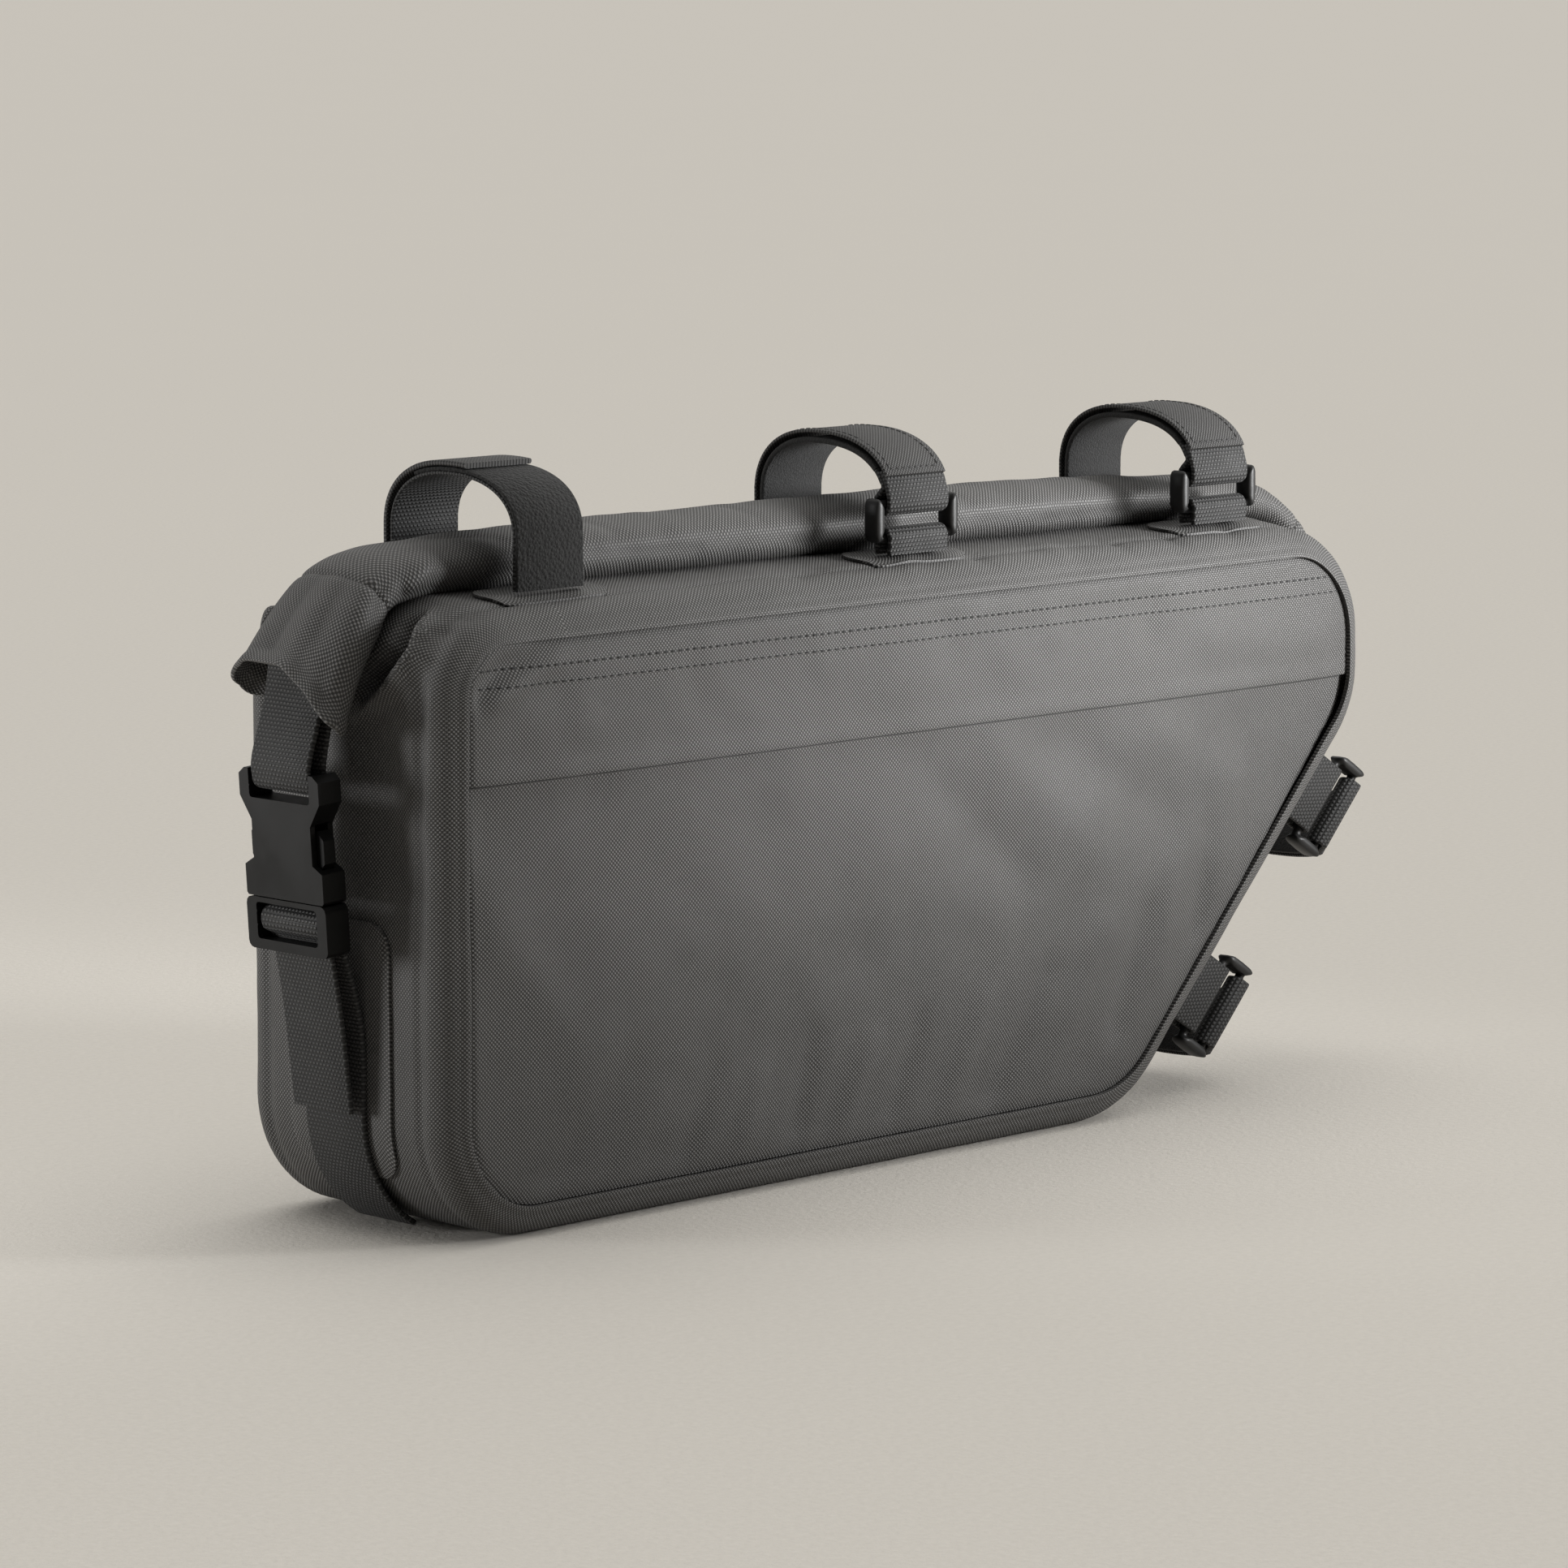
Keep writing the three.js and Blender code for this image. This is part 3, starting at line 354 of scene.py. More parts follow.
# The first two are the hollow beside the left tab and the lip of cloth that hangs over it
BAND_FOLDS = [
    fold_along(
        [(8, -22.5, 176.5), (3.5, -22.5, 171), (1.5, -18, 166), (0, -11, 162)],
        wide=4.0, high=(-8, -11, -10, -6),
    ),
    fold_along(
        [
            (14, -24, 182), (10, -28, 178), (6.5, -31.5, 174), (3.5, -33, 170), (1.2, -31, 165.5),
            (0, -25, 161), (0, -16, 156.5), (0, -7, 151),
        ],
        wide=2.2, high=(0.6, 3.0, 4.6, 5.0, 4.6, 3.4, 2.0, 0.6), lean=(-0.05, 0.6, 0.25),
    ),
    fold_along(
        [(9, -36, 177), (3, -36, 170), (0, -34, 158), (0, -33, 130)],
        wide=3.2, high=(-1.0, -0.8, -1.2, -0.3),
    ),
    fold((16, -37, 182), (26, -38, 182.5), 3.4, (-1.6, -0.4)),
    fold((0, -14, 150), (0, -24, 108), 10, -1.8),
    fold((0, -24, 104), (0, -6, 106), 3.5, 0.5),
    fold((7, 33, 175.5), (0, 27, 163), 3.4, (-6, -5)),
    fold((9, 38.5, 177.5), (0, 34, 160), 2.2, (4.5, 2.0)),
    fold((8, 28, 176.5), (0, 22, 162), 2.2, (4.0, 1.8)),
    fold((0, 26, 150), (0, 28, 120), 8, -1.2),
    fold((404, -30, 170), (406, -22, 150), 5, -3),
    fold((404, 30, 170), (406, 22, 150), 5, -3),
    # Slight dents along the front of the top band, and two on the slanted side
    fold((30, -33, 183), (60, -32, 184), 3, -0.5),
    fold((150, -36, 183), (164, -30, 184), 4, -0.8),
    fold((196, -38, 182), (203, -31, 184), 4, 0.7),
    fold((228, -38, 182), (232, -31, 184), 3.5, -0.9),
    fold((262, -38, 182), (266, -31, 184), 4, 0.7),
    fold((292, -38, 182), (290, -31, 184), 3.5, -0.9),
    fold((318, -38, 182), (316, -31, 184), 3.5, -1.0),
    fold((345, -38, 182), (348, -31, 184), 4, -0.8),
    fold((372, -38, 181), (374, -31, 182), 4, -0.9),
    fold((345, -38, 58), (350, -30, 62), 4, -0.6),
    fold((316, -38, 26), (320, -30, 30), 4, -0.6),
]


SECTION_EDGE = FLAT_HALF + EDGE_ROUND * math.pi / 2
EDGE_LIP = 0.75 * MM
GROOVE_IN = 1.2 * MM
GROOVE_WIDE = 1.7 * MM
GROOVE_DEEP = 1.0 * MM
BAND_WAVES = [(30 * MM, 0.5 * MM), (9 * MM, 0.14 * MM)]


def band_surface(way, across, lift=0.0):
    """Points of the band's outer skin: a way round the outline, and across it from the middle."""
    x, z, nx, nz = outline_at(way)
    turn = np.clip((np.abs(across) - FLAT_HALF) / EDGE_ROUND, 0, math.pi / 2)
    side = np.sign(across)
    flat = np.clip(np.abs(across), 0, FLAT_HALF)
    crown = TOP_CROWN * np.clip(nz, 0, 1) ** 3 + END_BULGE * nx ** 2
    swell = crown * (1 - (flat / FLAT_HALF) ** 2)
    cos, sin = np.cos(turn), np.sin(turn)
    inset = EDGE_ROUND * (1 - cos) - swell
    points = np.stack([x - nx * inset, side * (flat + EDGE_ROUND * sin), z - nz * inset], -1)
    normals = np.stack([nx * cos, side * sin, nz * cos], -1)
    # The cloth pulls in a little where the edge's round begins
    groove = np.exp(-((np.abs(across) - FLAT_HALF + GROOVE_IN) / GROOVE_WIDE) ** 2)
    level = 1 - 0.75 * np.clip(-nz, 0, 1)
    height = fold_height(points, BAND_FOLDS) - GROOVE_DEEP * groove
    height = (height + unevenness(points, BAND_WAVES)) * level
    lip = smoothstep(np.abs(across), SECTION_EDGE - 3.0 * MM, SECTION_EDGE - 0.8 * MM)
    lean = fold_lean(points, BAND_FOLDS)
    points = points + lean + normals * (height + lip * EDGE_LIP + lift)[..., None]
    points[..., 2] = np.maximum(points[..., 2], 0)
    return points


def make_gusset():
    fine = np.arange(-42, 42, 0.75) * MM + WAY_LEFT_TOP
    coarse = np.arange(WAY_LEFT_TOP + 43 * MM, WAY_LEFT_TOP - 43 * MM + ROUND_TRIP, 3.0 * MM)
    ways = np.concatenate([fine, coarse])
    across = np.concatenate([
        np.linspace(-SECTION_EDGE, -4 * MM, 58), np.linspace(-1 * MM, 20 * MM, 7),
        np.linspace(22 * MM, SECTION_EDGE, 24),
    ])
    rows = band_surface(ways[:, None], np.broadcast_to(across, (len(ways), len(across))))
    gusset = lofted("gusset_skin", rows, closed=True)
    thicken(gusset)
    return shade(gusset, 60)


# Side panels
PANEL_INSET = EDGE_ROUND + GAP
PANEL_WAVES = [(34 * MM, 0.9 * MM), (13 * MM, 0.3 * MM)]
FRONT_FOLDS = [
    fold((12, -44, 160), (34, -46, 174), 5, -2.2),
    fold((20, -44, 158), (44, -46, 168), 4, 1.3),
    fold((36, -46, 175), (60, -46, 172), 4, -0.7),
    fold((40, -44, 14), (70, -47, 44), 6, -1.0),
    fold((66, -44, 12), (84, -47, 34), 5, 0.9),
    fold((92, -44, 12), (104, -47, 40), 5, -1.1),
    fold((118, -44, 12), (124, -47, 36), 4.5, 0.9),
    fold((140, -44, 12), (146, -47, 44), 5, -1.4),
    fold((160, -44, 12), (172, -47, 40), 4.5, 1.0),
    fold((180, -44, 12), (192, -47, 42), 5, -1.3),
    fold((206, -44, 12), (222, -47, 46), 5, 1.1),
    fold((226, -44, 14), (250, -47, 52), 5.5, -1.5),
    fold((252, -44, 20), (276, -47, 62), 6, 0.9),
    fold((284, -44, 32), (296, -47, 66), 5.5, -1.4),
    fold((304, -44, 46), (310, -47, 78), 5, 0.8),
    fold((322, -44, 58), (326, -47, 88), 5, -1.1),
    fold((196, -47, 122), (236, -47, 84), 9, -1.0),
    fold((226, -47, 126), (268, -47, 92), 9, 0.9),
    fold((262, -47, 124), (306, -47, 96), 9, -1.1),
    fold((300, -47, 124), (340, -46, 104), 8, 0.8),
    fold((14, -45, 100), (40, -47, 66), 11, 0.8),
    fold((56, -47, 128), (80, -47, 100), 12, -0.6),
    fold((120, -47, 128), (126, -47, 98), 12, -0.5),
]
FLAP_FOLDS = [
    fold((52, -46, 172), (54, -46, 150), 7, 0.5),
    fold((96, -46, 172), (100, -46, 152), 7, -0.6),
    fold((150, -46, 173), (152, -46, 158), 6, 0.5),
    fold((204, -46, 173), (206, -46, 156), 6, -0.6),
    fold((250, -46, 173), (254, -46, 158), 5, 0.5),
    fold((300, -46, 173), (298, -46, 156), 6, -0.6),
    fold((352, -46, 173), (350, -46, 158), 6, -0.5),
    fold((330, -46, 150), (376, -46, 146), 8, 0.5),
]
BACK_FOLDS = [
    fold((18, 44, 158), (48, 47, 176), 6, -2.0),
    fold((60, 44, 12), (84, 47, 46), 6, -1.2),
    fold((110, 44, 12), (120, 47, 40), 5, 1.0),
    fold((150, 44, 12), (168, 47, 48), 6, -1.3),
    fold((204, 44, 12), (226, 47, 50), 6, 1.0),
    fold((246, 44, 18), (272, 47, 60), 6, -1.3),
    fold((210, 47, 128), (256, 47, 86), 10, -1.2),
    fold((262, 47, 136), (312, 47, 98), 9, 0.9),
    fold((90, 44, 172), (94, 47, 140), 7, -0.8),
    fold((180, 44, 172), (186, 47, 144), 7, 0.7),
    fold((330, 44, 170), (324, 47, 140), 7, -0.9),
]


def panel_columns(low, high):
    """Columns between two limits of X, closer together where the outline's corners turn."""
    corner = 30 * MM
    turns = corner * (1 - np.cos(np.linspace(0, math.pi / 2, 18)))
    middle = np.arange(low + corner, high - corner, 2.6 * MM)
    return np.unique(np.concatenate([low + turns, middle, high - turns]))


def panel_grid(side, folds, bottom=None, recess=0):
    """Rows of points over a side panel, from its lower edge up, inside its seam."""
    x, z, nx, nz = outline_at(np.linspace(0, ROUND_TRIP, 3000))
    x, z = x - nx * PANEL_INSET, z - nz * PANEL_INSET
    columns = panel_columns(x.min() + 0.01 * MM, x.max() - 0.01 * MM)
    low, high = (
        np.interp(columns, x[half][np.argsort(x[half])], z[half][np.argsort(x[half])])
        for half in (nz < 0, nz >= 0)
    )
    if bottom is not None:
        low = np.maximum(low, bottom)
        high = np.maximum(high, low + 0.5 * MM)
    shares = np.linspace(0, 1, 62 if bottom is None else 24)
    grid_z = low + (high - low) * shares[:, None]
    grid_x = np.broadcast_to(columns, grid_z.shape)
    seam = np.stack([x, z], -1)[::6]
    place = np.stack([grid_x, grid_z], -1)
    edge = np.min(np.linalg.norm(place[:, :, None] - seam, axis=-1), axis=-1)
    reach = np.clip(edge / PANEL_REACH, 0, 1)
    lift = PANEL_BULGE * (1 - (1 - reach) ** 2)
    lift = lift - recess * smoothstep(grid_z, FLAP_EDGE / 2, FLAP_EDGE)
    points = np.stack([grid_x, np.full(grid_x.shape, side * BAG_DEPTH / 2), grid_z], -1)
    fade = smoothstep(edge, -2 * MM, 9 * MM)
    crease = fold_height(points, folds) + unevenness(points, PANEL_WAVES)
    sink = SEAM_SINK * (1 - smoothstep(edge, 0.6 * MM, 2.2 * MM))
    points[:, :, 1] = side * (BAG_DEPTH / 2 + lift + crease * fade - sink)
    if bottom is not None:
        hem = FLAP_HEM_LIFT * (1 - smoothstep(grid_z - bottom, 0, 7 * MM))
        points[:, :, 1] += side * hem * fade
    return points


FROM_FRONT = (0, 1, 0)
BEFORE = 0.1


def make_flap_shadow_strip():
    """Painted shadow under the flap's lower edge: a thin dark strip on the front panel."""
    x, z, _, _ = outline_at(np.linspace(0, ROUND_TRIP, 3000))
    level = np.abs(z - FLAP_EDGE) < 2 * MM
    left, right = x[level].min() + PANEL_INSET + 1 * MM, x[level].max() - PANEL_INSET - 1 * MM
    across = np.linspace(left, right, 150)
    rows = []
    for height in np.linspace(FLAP_EDGE - 0.75 * MM, FLAP_EDGE + 2 * MM, 4):
        starts = [(at, -BEFORE, height) for at in across]
        rows.append(on_skin(FRONT, starts, FROM_FRONT, -0.12 * MM)[0])
    shadow_strip = lofted("flap_painted_shadow_strip", np.array(rows))
    finish_with(shadow_strip, "SOLIDIFY", thickness=0.3 * MM, offset=0)
    return shade(shadow_strip, 60)


def side_cloth(name, rows):
    """Thick cloth whose weave map is its view from the side."""
    panel = lofted(name, rows)
    lay_map(panel, vertex_places(panel)[:, ::2])
    thicken(panel)
    return panel


def make_front_panel():
    rows = panel_grid(-1, FRONT_FOLDS, recess=LAYER_STEP)
    return shade(side_cloth("front_panel_skin", rows), 60)


def make_back_panel():
    rows = panel_grid(1, BACK_FOLDS).transpose(1, 0, 2)
    return shade(side_cloth("back_panel_skin", rows), 60)


def make_pocket_flap():
    rows = panel_grid(-1, FRONT_FOLDS[:3] + FLAP_FOLDS, bottom=FLAP_EDGE)
    flap = side_cloth("pocket_flap_skin", rows)
    round_edges(flap, 0.45 * MM)
    return shade(flap, 50)


# Thin patches that lie on the band
PATCH = 0.8 * MM
PATCH_LIFT = 0.25 * MM
# Width and corner radius of the end patch, whose length is the CAD's
END_PATCH = (44 * MM, 9 * MM)
# Place across the band, length, width and corner radius of a strap's patch
STRAP_PATCH = (-25.7 * MM, 46 * MM, 17.2 * MM, 8 * MM)


def weave_points(piece):
    points = np.empty(2 * len(piece.data.loops))
    piece.data.uv_layers["weave"].data.foreach_get("uv", points)
    return points.reshape(-1, 2)


def make_patch(name, way, across, length, width, radius):
    """Patch of cloth with round corners, welded on the band round a place on it."""
    turns = radius * (1 - np.cos(np.linspace(0, math.pi / 2, 9)))
    steps = np.linspace(radius, length - radius, max(6, int(length / (3 * MM))))
    along = np.unique(np.concatenate([turns, steps, length - turns]))
    into = np.clip(radius - np.minimum(along, length - along), 0, radius)
    half = width / 2 - radius + np.sqrt(np.maximum(radius ** 2 - into ** 2, 0))
    half = np.maximum(half, 1.2 * MM)
    shares = np.linspace(-1, 1, 16)
    ways = way - length / 2 + along
    rows = band_surface(
        np.broadcast_to(ways[:, None], (len(ways), len(shares))),
        across + half[:, None] * shares,
        PATCH + PATCH_LIFT,
    )
    patch = lofted(name, rows)
    size = weave_points(patch).max(0)
    thicken(patch, PATCH)
    round_edges(patch, 0.15 * MM, segments=2)
    # At the tight corners the bevel throws a few points of the map far off the cloth
    points = np.clip(weave_points(patch), 0, size)
    patch.data.uv_layers["weave"].data.foreach_set("uv", points.ravel())
    return shade(patch, 50)


# Webbing and straps, pulled along a path of depth and height; X is their width
def smooth_path(points, spacing=1.3 * MM):
    """The path through chosen points, rounded between them and sampled evenly."""
    knots = np.asarray(points, dtype=float)
    padded = np.concatenate([[2 * knots[0] - knots[1]], knots, [2 * knots[-1] - knots[-2]]])
    path = []
    for before, start, end, after in zip(padded, padded[1:], padded[2:], padded[3:]):
        count = max(1, round(np.linalg.norm(end - start) / spacing))
        for share in np.arange(count) / count:
            first = (end - before) / 2
            last = (after - start) / 2
            bend = 2 * start - 2 * end + first + last
            ease = -3 * start + 3 * end - 2 * first - last
            path.append(start + first * share + ease * share ** 2 + bend * share ** 3)
    return np.array(path + [knots[-1]])


def turn_round(centre, radius, start, stop, steps=14):
    angles = np.radians(np.linspace(start, stop, steps + 1))
    return np.array(centre) + radius * np.stack([np.cos(angles), np.sin(angles)], -1)


def section_angles(path):
    legs = np.diff(path, axis=0)
    angles = np.unwrap(np.arctan2(legs[:, 1], legs[:, 0]))
    return np.concatenate([angles[:1], (angles[1:] + angles[:-1]) / 2, angles[-1:]])


def pull_webbing(name, path, width, thickness):
    """Webbing made from its end face, extruded and turned from point to point of its path."""
    angles = section_angles(path)
    deselect()
    bpy.ops.mesh.primitive_plane_add(
        size=1, location=(0, *path[0]), rotation=(angles[0] - math.pi / 2, 0, 0)
    )
    piece = bpy.context.object
    piece.name = name
    piece.scale = (width, thickness, 1)
    bpy.ops.object.transform_apply(location=True, rotation=True, scale=True)
    edit_all(piece)
    bpy.ops.mesh.bevel(offset=0.35 * thickness, segments=2, affect="VERTICES")
    for before, here, turn in zip(path, path[1:], np.diff(angles)):
        step = (0, here[0] - before[0], here[1] - before[1])
        bpy.ops.mesh.extrude_region_move(TRANSFORM_OT_translate={"value": step})
        bpy.ops.transform.rotate(value=-turn, orient_axis="X", center_override=(0, *here))
    close_outward()
    lay_weave(piece, path)
    return shade(piece, 50)


def way_along(places, path):
    """How far along a path each place lies."""
    legs = np.diff(path, axis=0)
    lengths = np.linalg.norm(legs, axis=1)
    starts = np.concatenate([[0], np.cumsum(lengths)[:-1]])
    from_start = places[:, None] - path[:-1]
    shares = np.clip((from_start * legs).sum(-1) / lengths ** 2, 0, 1)
    off = np.linalg.norm(from_start - shares[..., None] * legs, axis=-1)
    nearest = off.argmin(1)
    rows = np.arange(len(places))
    return starts[nearest] + shares[rows, nearest] * lengths[nearest]


def lay_weave(piece, path):
    """Weave map across a webbing and along it."""
    places = vertex_places(piece)
    lay_map(piece, np.stack([places[:, 0], way_along(places[:, 1:], path)], -1))


def stand(piece, place):
    """Puts a piece's mesh in its place; the object stays at the origin."""
    piece.data.transform(place)
    piece.data.update()
    return piece


# Turns X, depth, height of a webbing's own plane into depth, X, height of the bag
SIDEWAYS = Matrix(((0, 1, 0, 0), (-1, 0, 0, 0), (0, 0, 1, 0), (0, 0, 0, 1)))

# Left end fittings
BUCKLE_TOP = 137.5 * MM
BUCKLE_TILT = math.radians(3.8)
BUCKLE_OUT = 19.2 * MM
PLUG_BAR = 93.8 * MM
BAR = 3 * MM
TAIL = 47 * MM
TAIL_OUT = 7.3 * MM
TAB_OUT = 15 * MM
TAB_HEM = 156.3 * MM
WRAP = BAR / 2 + 0.45 * MM + WEBBING_THICK / 2


def buckle_x(height):
    return LEFT_END - BUCKLE_OUT + (BUCKLE_TOP - height) * math.tan(BUCKLE_TILT)


def make_upper_webbing():
    bar = (buckle_x(BUCKLE_TOP - BAR), BUCKLE_TOP - BAR)
    hem = LEFT_END - TAB_OUT
    inside = hem + 1.9 * MM
    apart = 1.3 * WEBBING_THICK
    path = smooth_path([
        (inside - WEBBING_THICK, TAB_HEM + 14 * MM),
        (hem - apart, TAB_HEM),
        (bar[0] - WRAP * 1.05, bar[1] + 6 * MM),
        *turn_round(bar, WRAP, 180, 360),
        (bar[0] + WRAP, bar[1] + 6 * MM),
        (hem + apart, TAB_HEM),
    ])
    piece = pull_webbing("webbing_upper_weave", path, WEBBING, WEBBING_THICK)
    return stand(piece, SIDEWAYS)


def make_lower_webbing():
    bar = (buckle_x(PLUG_BAR), PLUG_BAR)
    over = PATCH + 2 * GAP + WEBBING_THICK / 2 + END_BULGE
    x, z, nx, nz = outline_at(np.linspace(0, 36 * MM * math.radians(60), 13))
    foot = np.stack([x + nx * over, z + nz * over], -1)[::-1]
    below = PLUG_BAR - 9 * MM
    behind = bar[0] + 0.8 * WRAP
    path = smooth_path([
        *foot,
        (foot[-1][0] - 0.5 * MM, 62 * MM),
        (bar[0] + 2.5 * WRAP, below),
        *turn_round(bar, WRAP, 0, 180),
        (bar[0] - 0.8 * WRAP, bar[1] - 1.0 * WRAP),
        (bar[0] + 0.1 * WRAP, bar[1] - 1.5 * WRAP),
        (bar[0] + 0.7 * WRAP, bar[1] - 2.2 * WRAP),
        (behind, below),
        ((behind + LEFT_END - TAIL_OUT) / 2, below - TAIL / 2 + 4 * MM),
        (LEFT_END - TAIL_OUT, below - TAIL),
    ])
    piece = pull_webbing("webbing_lower_weave", path, WEBBING, WEBBING_THICK)
    return stand(piece, SIDEWAYS)


def make_right_webbing():
    low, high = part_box("webbing_right")
    path = smooth_path([
        (high.x - 4.5 * MM, high.z),
        (high.x - 1.5 * MM, 158 * MM),
        (high.x - 1.6 * MM, 152 * MM),
        (high.x - 5.2 * MM, 137 * MM),
        (high.x - 5.9 * MM, low.z + 1 * MM),
    ])
    piece = pull_webbing("webbing_right_weave", path, WEBBING, WEBBING_THICK)
    return stand(piece, SIDEWAYS)


def moulded(node, name, round_edge):
    """Moulded plastic piece: a CAD form with its edges rounded."""
    piece = form_of(node, name)
    edit_all(piece)
    bpy.ops.mesh.dissolve_limited(angle_limit=math.radians(2))
    close()
    round_edges(piece, round_edge, sharp=math.radians(28))
    shade(piece, 40)
    finish_with(piece, "WEIGHTED_NORMAL", weight=80, keep_sharp=True)
    return piece


# Straps on the bicycle side: sizes of the arch, with spans to the front leg and the back leg
STRAP_SPAN = 29 * MM
RING_WIDE = 36 * MM
RING_HIGH = 13.5 * MM
RING_POST = 3.6 * MM
RING_SQUARE = 0.28
POST_SQUARE = 0.36
POST_RISE = 0.8 * MM
POST_DEEP = 1.5 * MM
PILE = 2.4 * MM
LINING = 1.8 * MM
COVER_THICK = 1.1 * MM
TOP_ARCH = {"leg": 17 * MM, "high": 37 * MM, "round": 0.86, "back": 25 * MM}
SLANTED_ARCH = {"leg": 24 * MM, "high": 39.5 * MM, "round": 0.96, "back": 29 * MM}
TOP_STRAPS = [54.8 * MM, 206 * MM, 345.8 * MM]
SLANTED_STRAPS = [53.7 * MM, 135.5 * MM]
TOP_RING_RISE = 5 * MM
SLANTED_RING_RISE = 14 * MM
SLANTED_LEAN = math.radians(10)
PATCH_FOOT = PATCH + 3 * GAP


def arch(size, start, stop, inset=0.0, steps=30):
    """Points over a strap's arch, from an angle on the front leg's side to one on the back's."""
    angles = np.radians(np.linspace(start, stop, steps + 1))
    across, up = np.cos(angles), np.clip(np.sin(angles), 0, 1)
    spans = np.where(across < 0, size["front"], size["back"]) - inset
    rise = size["high"] - inset - size["leg"]
    return np.stack([
        spans * np.sign(across) * np.abs(across) ** size["round"],
        size["leg"] + rise * up ** size["round"],
    ], -1)


def angle_at(size, height, inset=0.0):
    """Angle on the arch's front side where it reaches a height."""
    share = (height - size["leg"]) / (size["high"] - inset - size["leg"])
    return 180 - math.degrees(math.asin(min(max(share, 0), 1) ** (1 / size["round"])))


def flattened(value, power):
    """A sine or cosine drawn toward its ends, which turns a circle into a round-cornered square."""
    return math.copysign(abs(value) ** power, value)


def make_ring(name, rise):
    """Slide buckle: two round bars between side posts that are flat plates with round corners."""
    around, round_section = 56, 12
    deselect()
    bpy.ops.mesh.primitive_torus_add(
        major_segments=around, minor_segments=round_section,
        major_radius=RING_WIDE / 2, minor_radius=BAR / 2,
    )
    ring = bpy.context.object
    ring.name = name
    half_wide, half_high = (RING_WIDE - RING_POST) / 2, (RING_HIGH - BAR) / 2
    for vertex in ring.data.vertices:
        turn = math.tau * (vertex.index // round_section) / around
        section = math.tau * (vertex.index % round_section) / round_section
        across, up = math.cos(turn), math.sin(turn)
        post = smoothstep(abs(across), 0.66, 0.98)
        place = Vector((
            half_wide * flattened(across, RING_SQUARE), 0,
            half_high * flattened(up, RING_SQUARE) * (1 + 0.3 * post) + POST_RISE * post,
        ))
        out = Vector((across * half_high, 0, up * half_wide)).normalized()
        thick = BAR / 2 + (RING_POST - BAR) / 2 * post
        deep = BAR / 2 + POST_DEEP * post
        squared = 1 - (1 - POST_SQUARE) * post
        side = flattened(math.cos(section), squared)
        depth = flattened(math.sin(section), squared)
        place = place + out * thick * side + Vector((0, deep * depth, 0))
        vertex.co = place + Vector((0, -STRAP_SPAN, rise + RING_HIGH / 2))
    edit(ring)
    close_outward()
    return shade(ring, 80)


def buckled_strap(number, size, rise, foot):
    """Pieces of a strap with a slide buckle, in the strap's own plane: piece, finish and node."""
    lower = rise + BAR / 2
    upper = lower + RING_HIGH - BAR
    shape = {**size, "front": STRAP_SPAN + WRAP}
    fold_in = WEBBING_THICK + GAP
    sewn = angle_at(shape, upper + 1.7 * BAR, fold_in)
    past = upper + BAR / 2 + GAP
    loop = smooth_path([
        *arch(shape, sewn - 18, sewn, fold_in, 3),
        (WRAP - STRAP_SPAN, past),
        *turn_round((-STRAP_SPAN, upper), WRAP, 0, -180),
        (-WRAP - STRAP_SPAN, past),
        *arch(shape, angle_at(shape, past + BAR), sewn - 14, 0.35 * MM, 4),
    ])
    cover = smooth_path([*arch(shape, sewn - 8, 0, -0.75 * MM), (size["back"] + 0.4 * MM, GAP)])
    inside = (WEBBING_THICK + LINING) / 2 + GAP
    lining = smooth_path([*arch(shape, sewn - 18.6, 0, inside), (size["back"] - inside, GAP)])
    anchor = smooth_path([
        (-STRAP_SPAN - WRAP * 0.9, foot),
        *turn_round((-STRAP_SPAN, lower), WRAP, 180, 0),
        (-STRAP_SPAN + WRAP * 0.9, foot),
    ])
    strap = f"strap_{number}"
    made = [
        (pull_webbing(f"{strap}_{name}", path, width, thickness), finish, f"{strap}_{part}")
        for name, path, width, thickness, finish, part in (
            ("loop", loop, STRAP, WEBBING_THICK, "webbing", "band"),
            ("cover", cover, STRAP, COVER_THICK, "strap_cloth", "band"),
            ("pile", lining, STRAP, LINING, "lining", "lining"),
            ("anchor_loop", anchor, STRAP - 2 * GAP, WEBBING_THICK, "webbing", "anchor"),
        )
    ]
    return made + [(make_ring(f"{strap}_ring", rise), "ring", f"{strap}_buckle")]


def pile_strap(size):
    """The first strap: a pile band on woven backing from its front foot, with an end band over."""
    over = PILE / 2 + WEBBING_THICK / 2 + GAP
    shape = {**size, "front": STRAP_SPAN, "high": size["high"] - over}
    half = PILE / 4
    layer = PILE / 2 - 0.1 * MM
    pile = smooth_path([(-STRAP_SPAN - half, PATCH_FOOT), *arch(shape, 180, 60, -half)])
    backing = smooth_path([
        (-STRAP_SPAN + half, PATCH_FOOT), *arch(shape, 180, 0, half), (size["back"] - half, GAP)
    ])
    end = smooth_path([*arch(shape, 102, 0, -over), (size["back"] + over, GAP)])
    band, pile_band = "strap_1_end_band", "strap_1_pile_band"
    return [
        (pull_webbing("strap_1_pile", pile, STRAP, layer), "pile", pile_band),
        (pull_webbing("strap_1_backing", backing, STRAP, layer), "webbing", pile_band),
        (pull_webbing("strap_1_end", end, STRAP, WEBBING_THICK), "strap_cloth", band),
    ]


def top_place(centre):
    middle = STRAP_SPAN - WRAP
    base = BAG_HEIGHT + TOP_CROWN * (1 - (middle / FLAT_HALF) ** 2)
    return Matrix.Translation((LEFT_END + centre, 0, base))


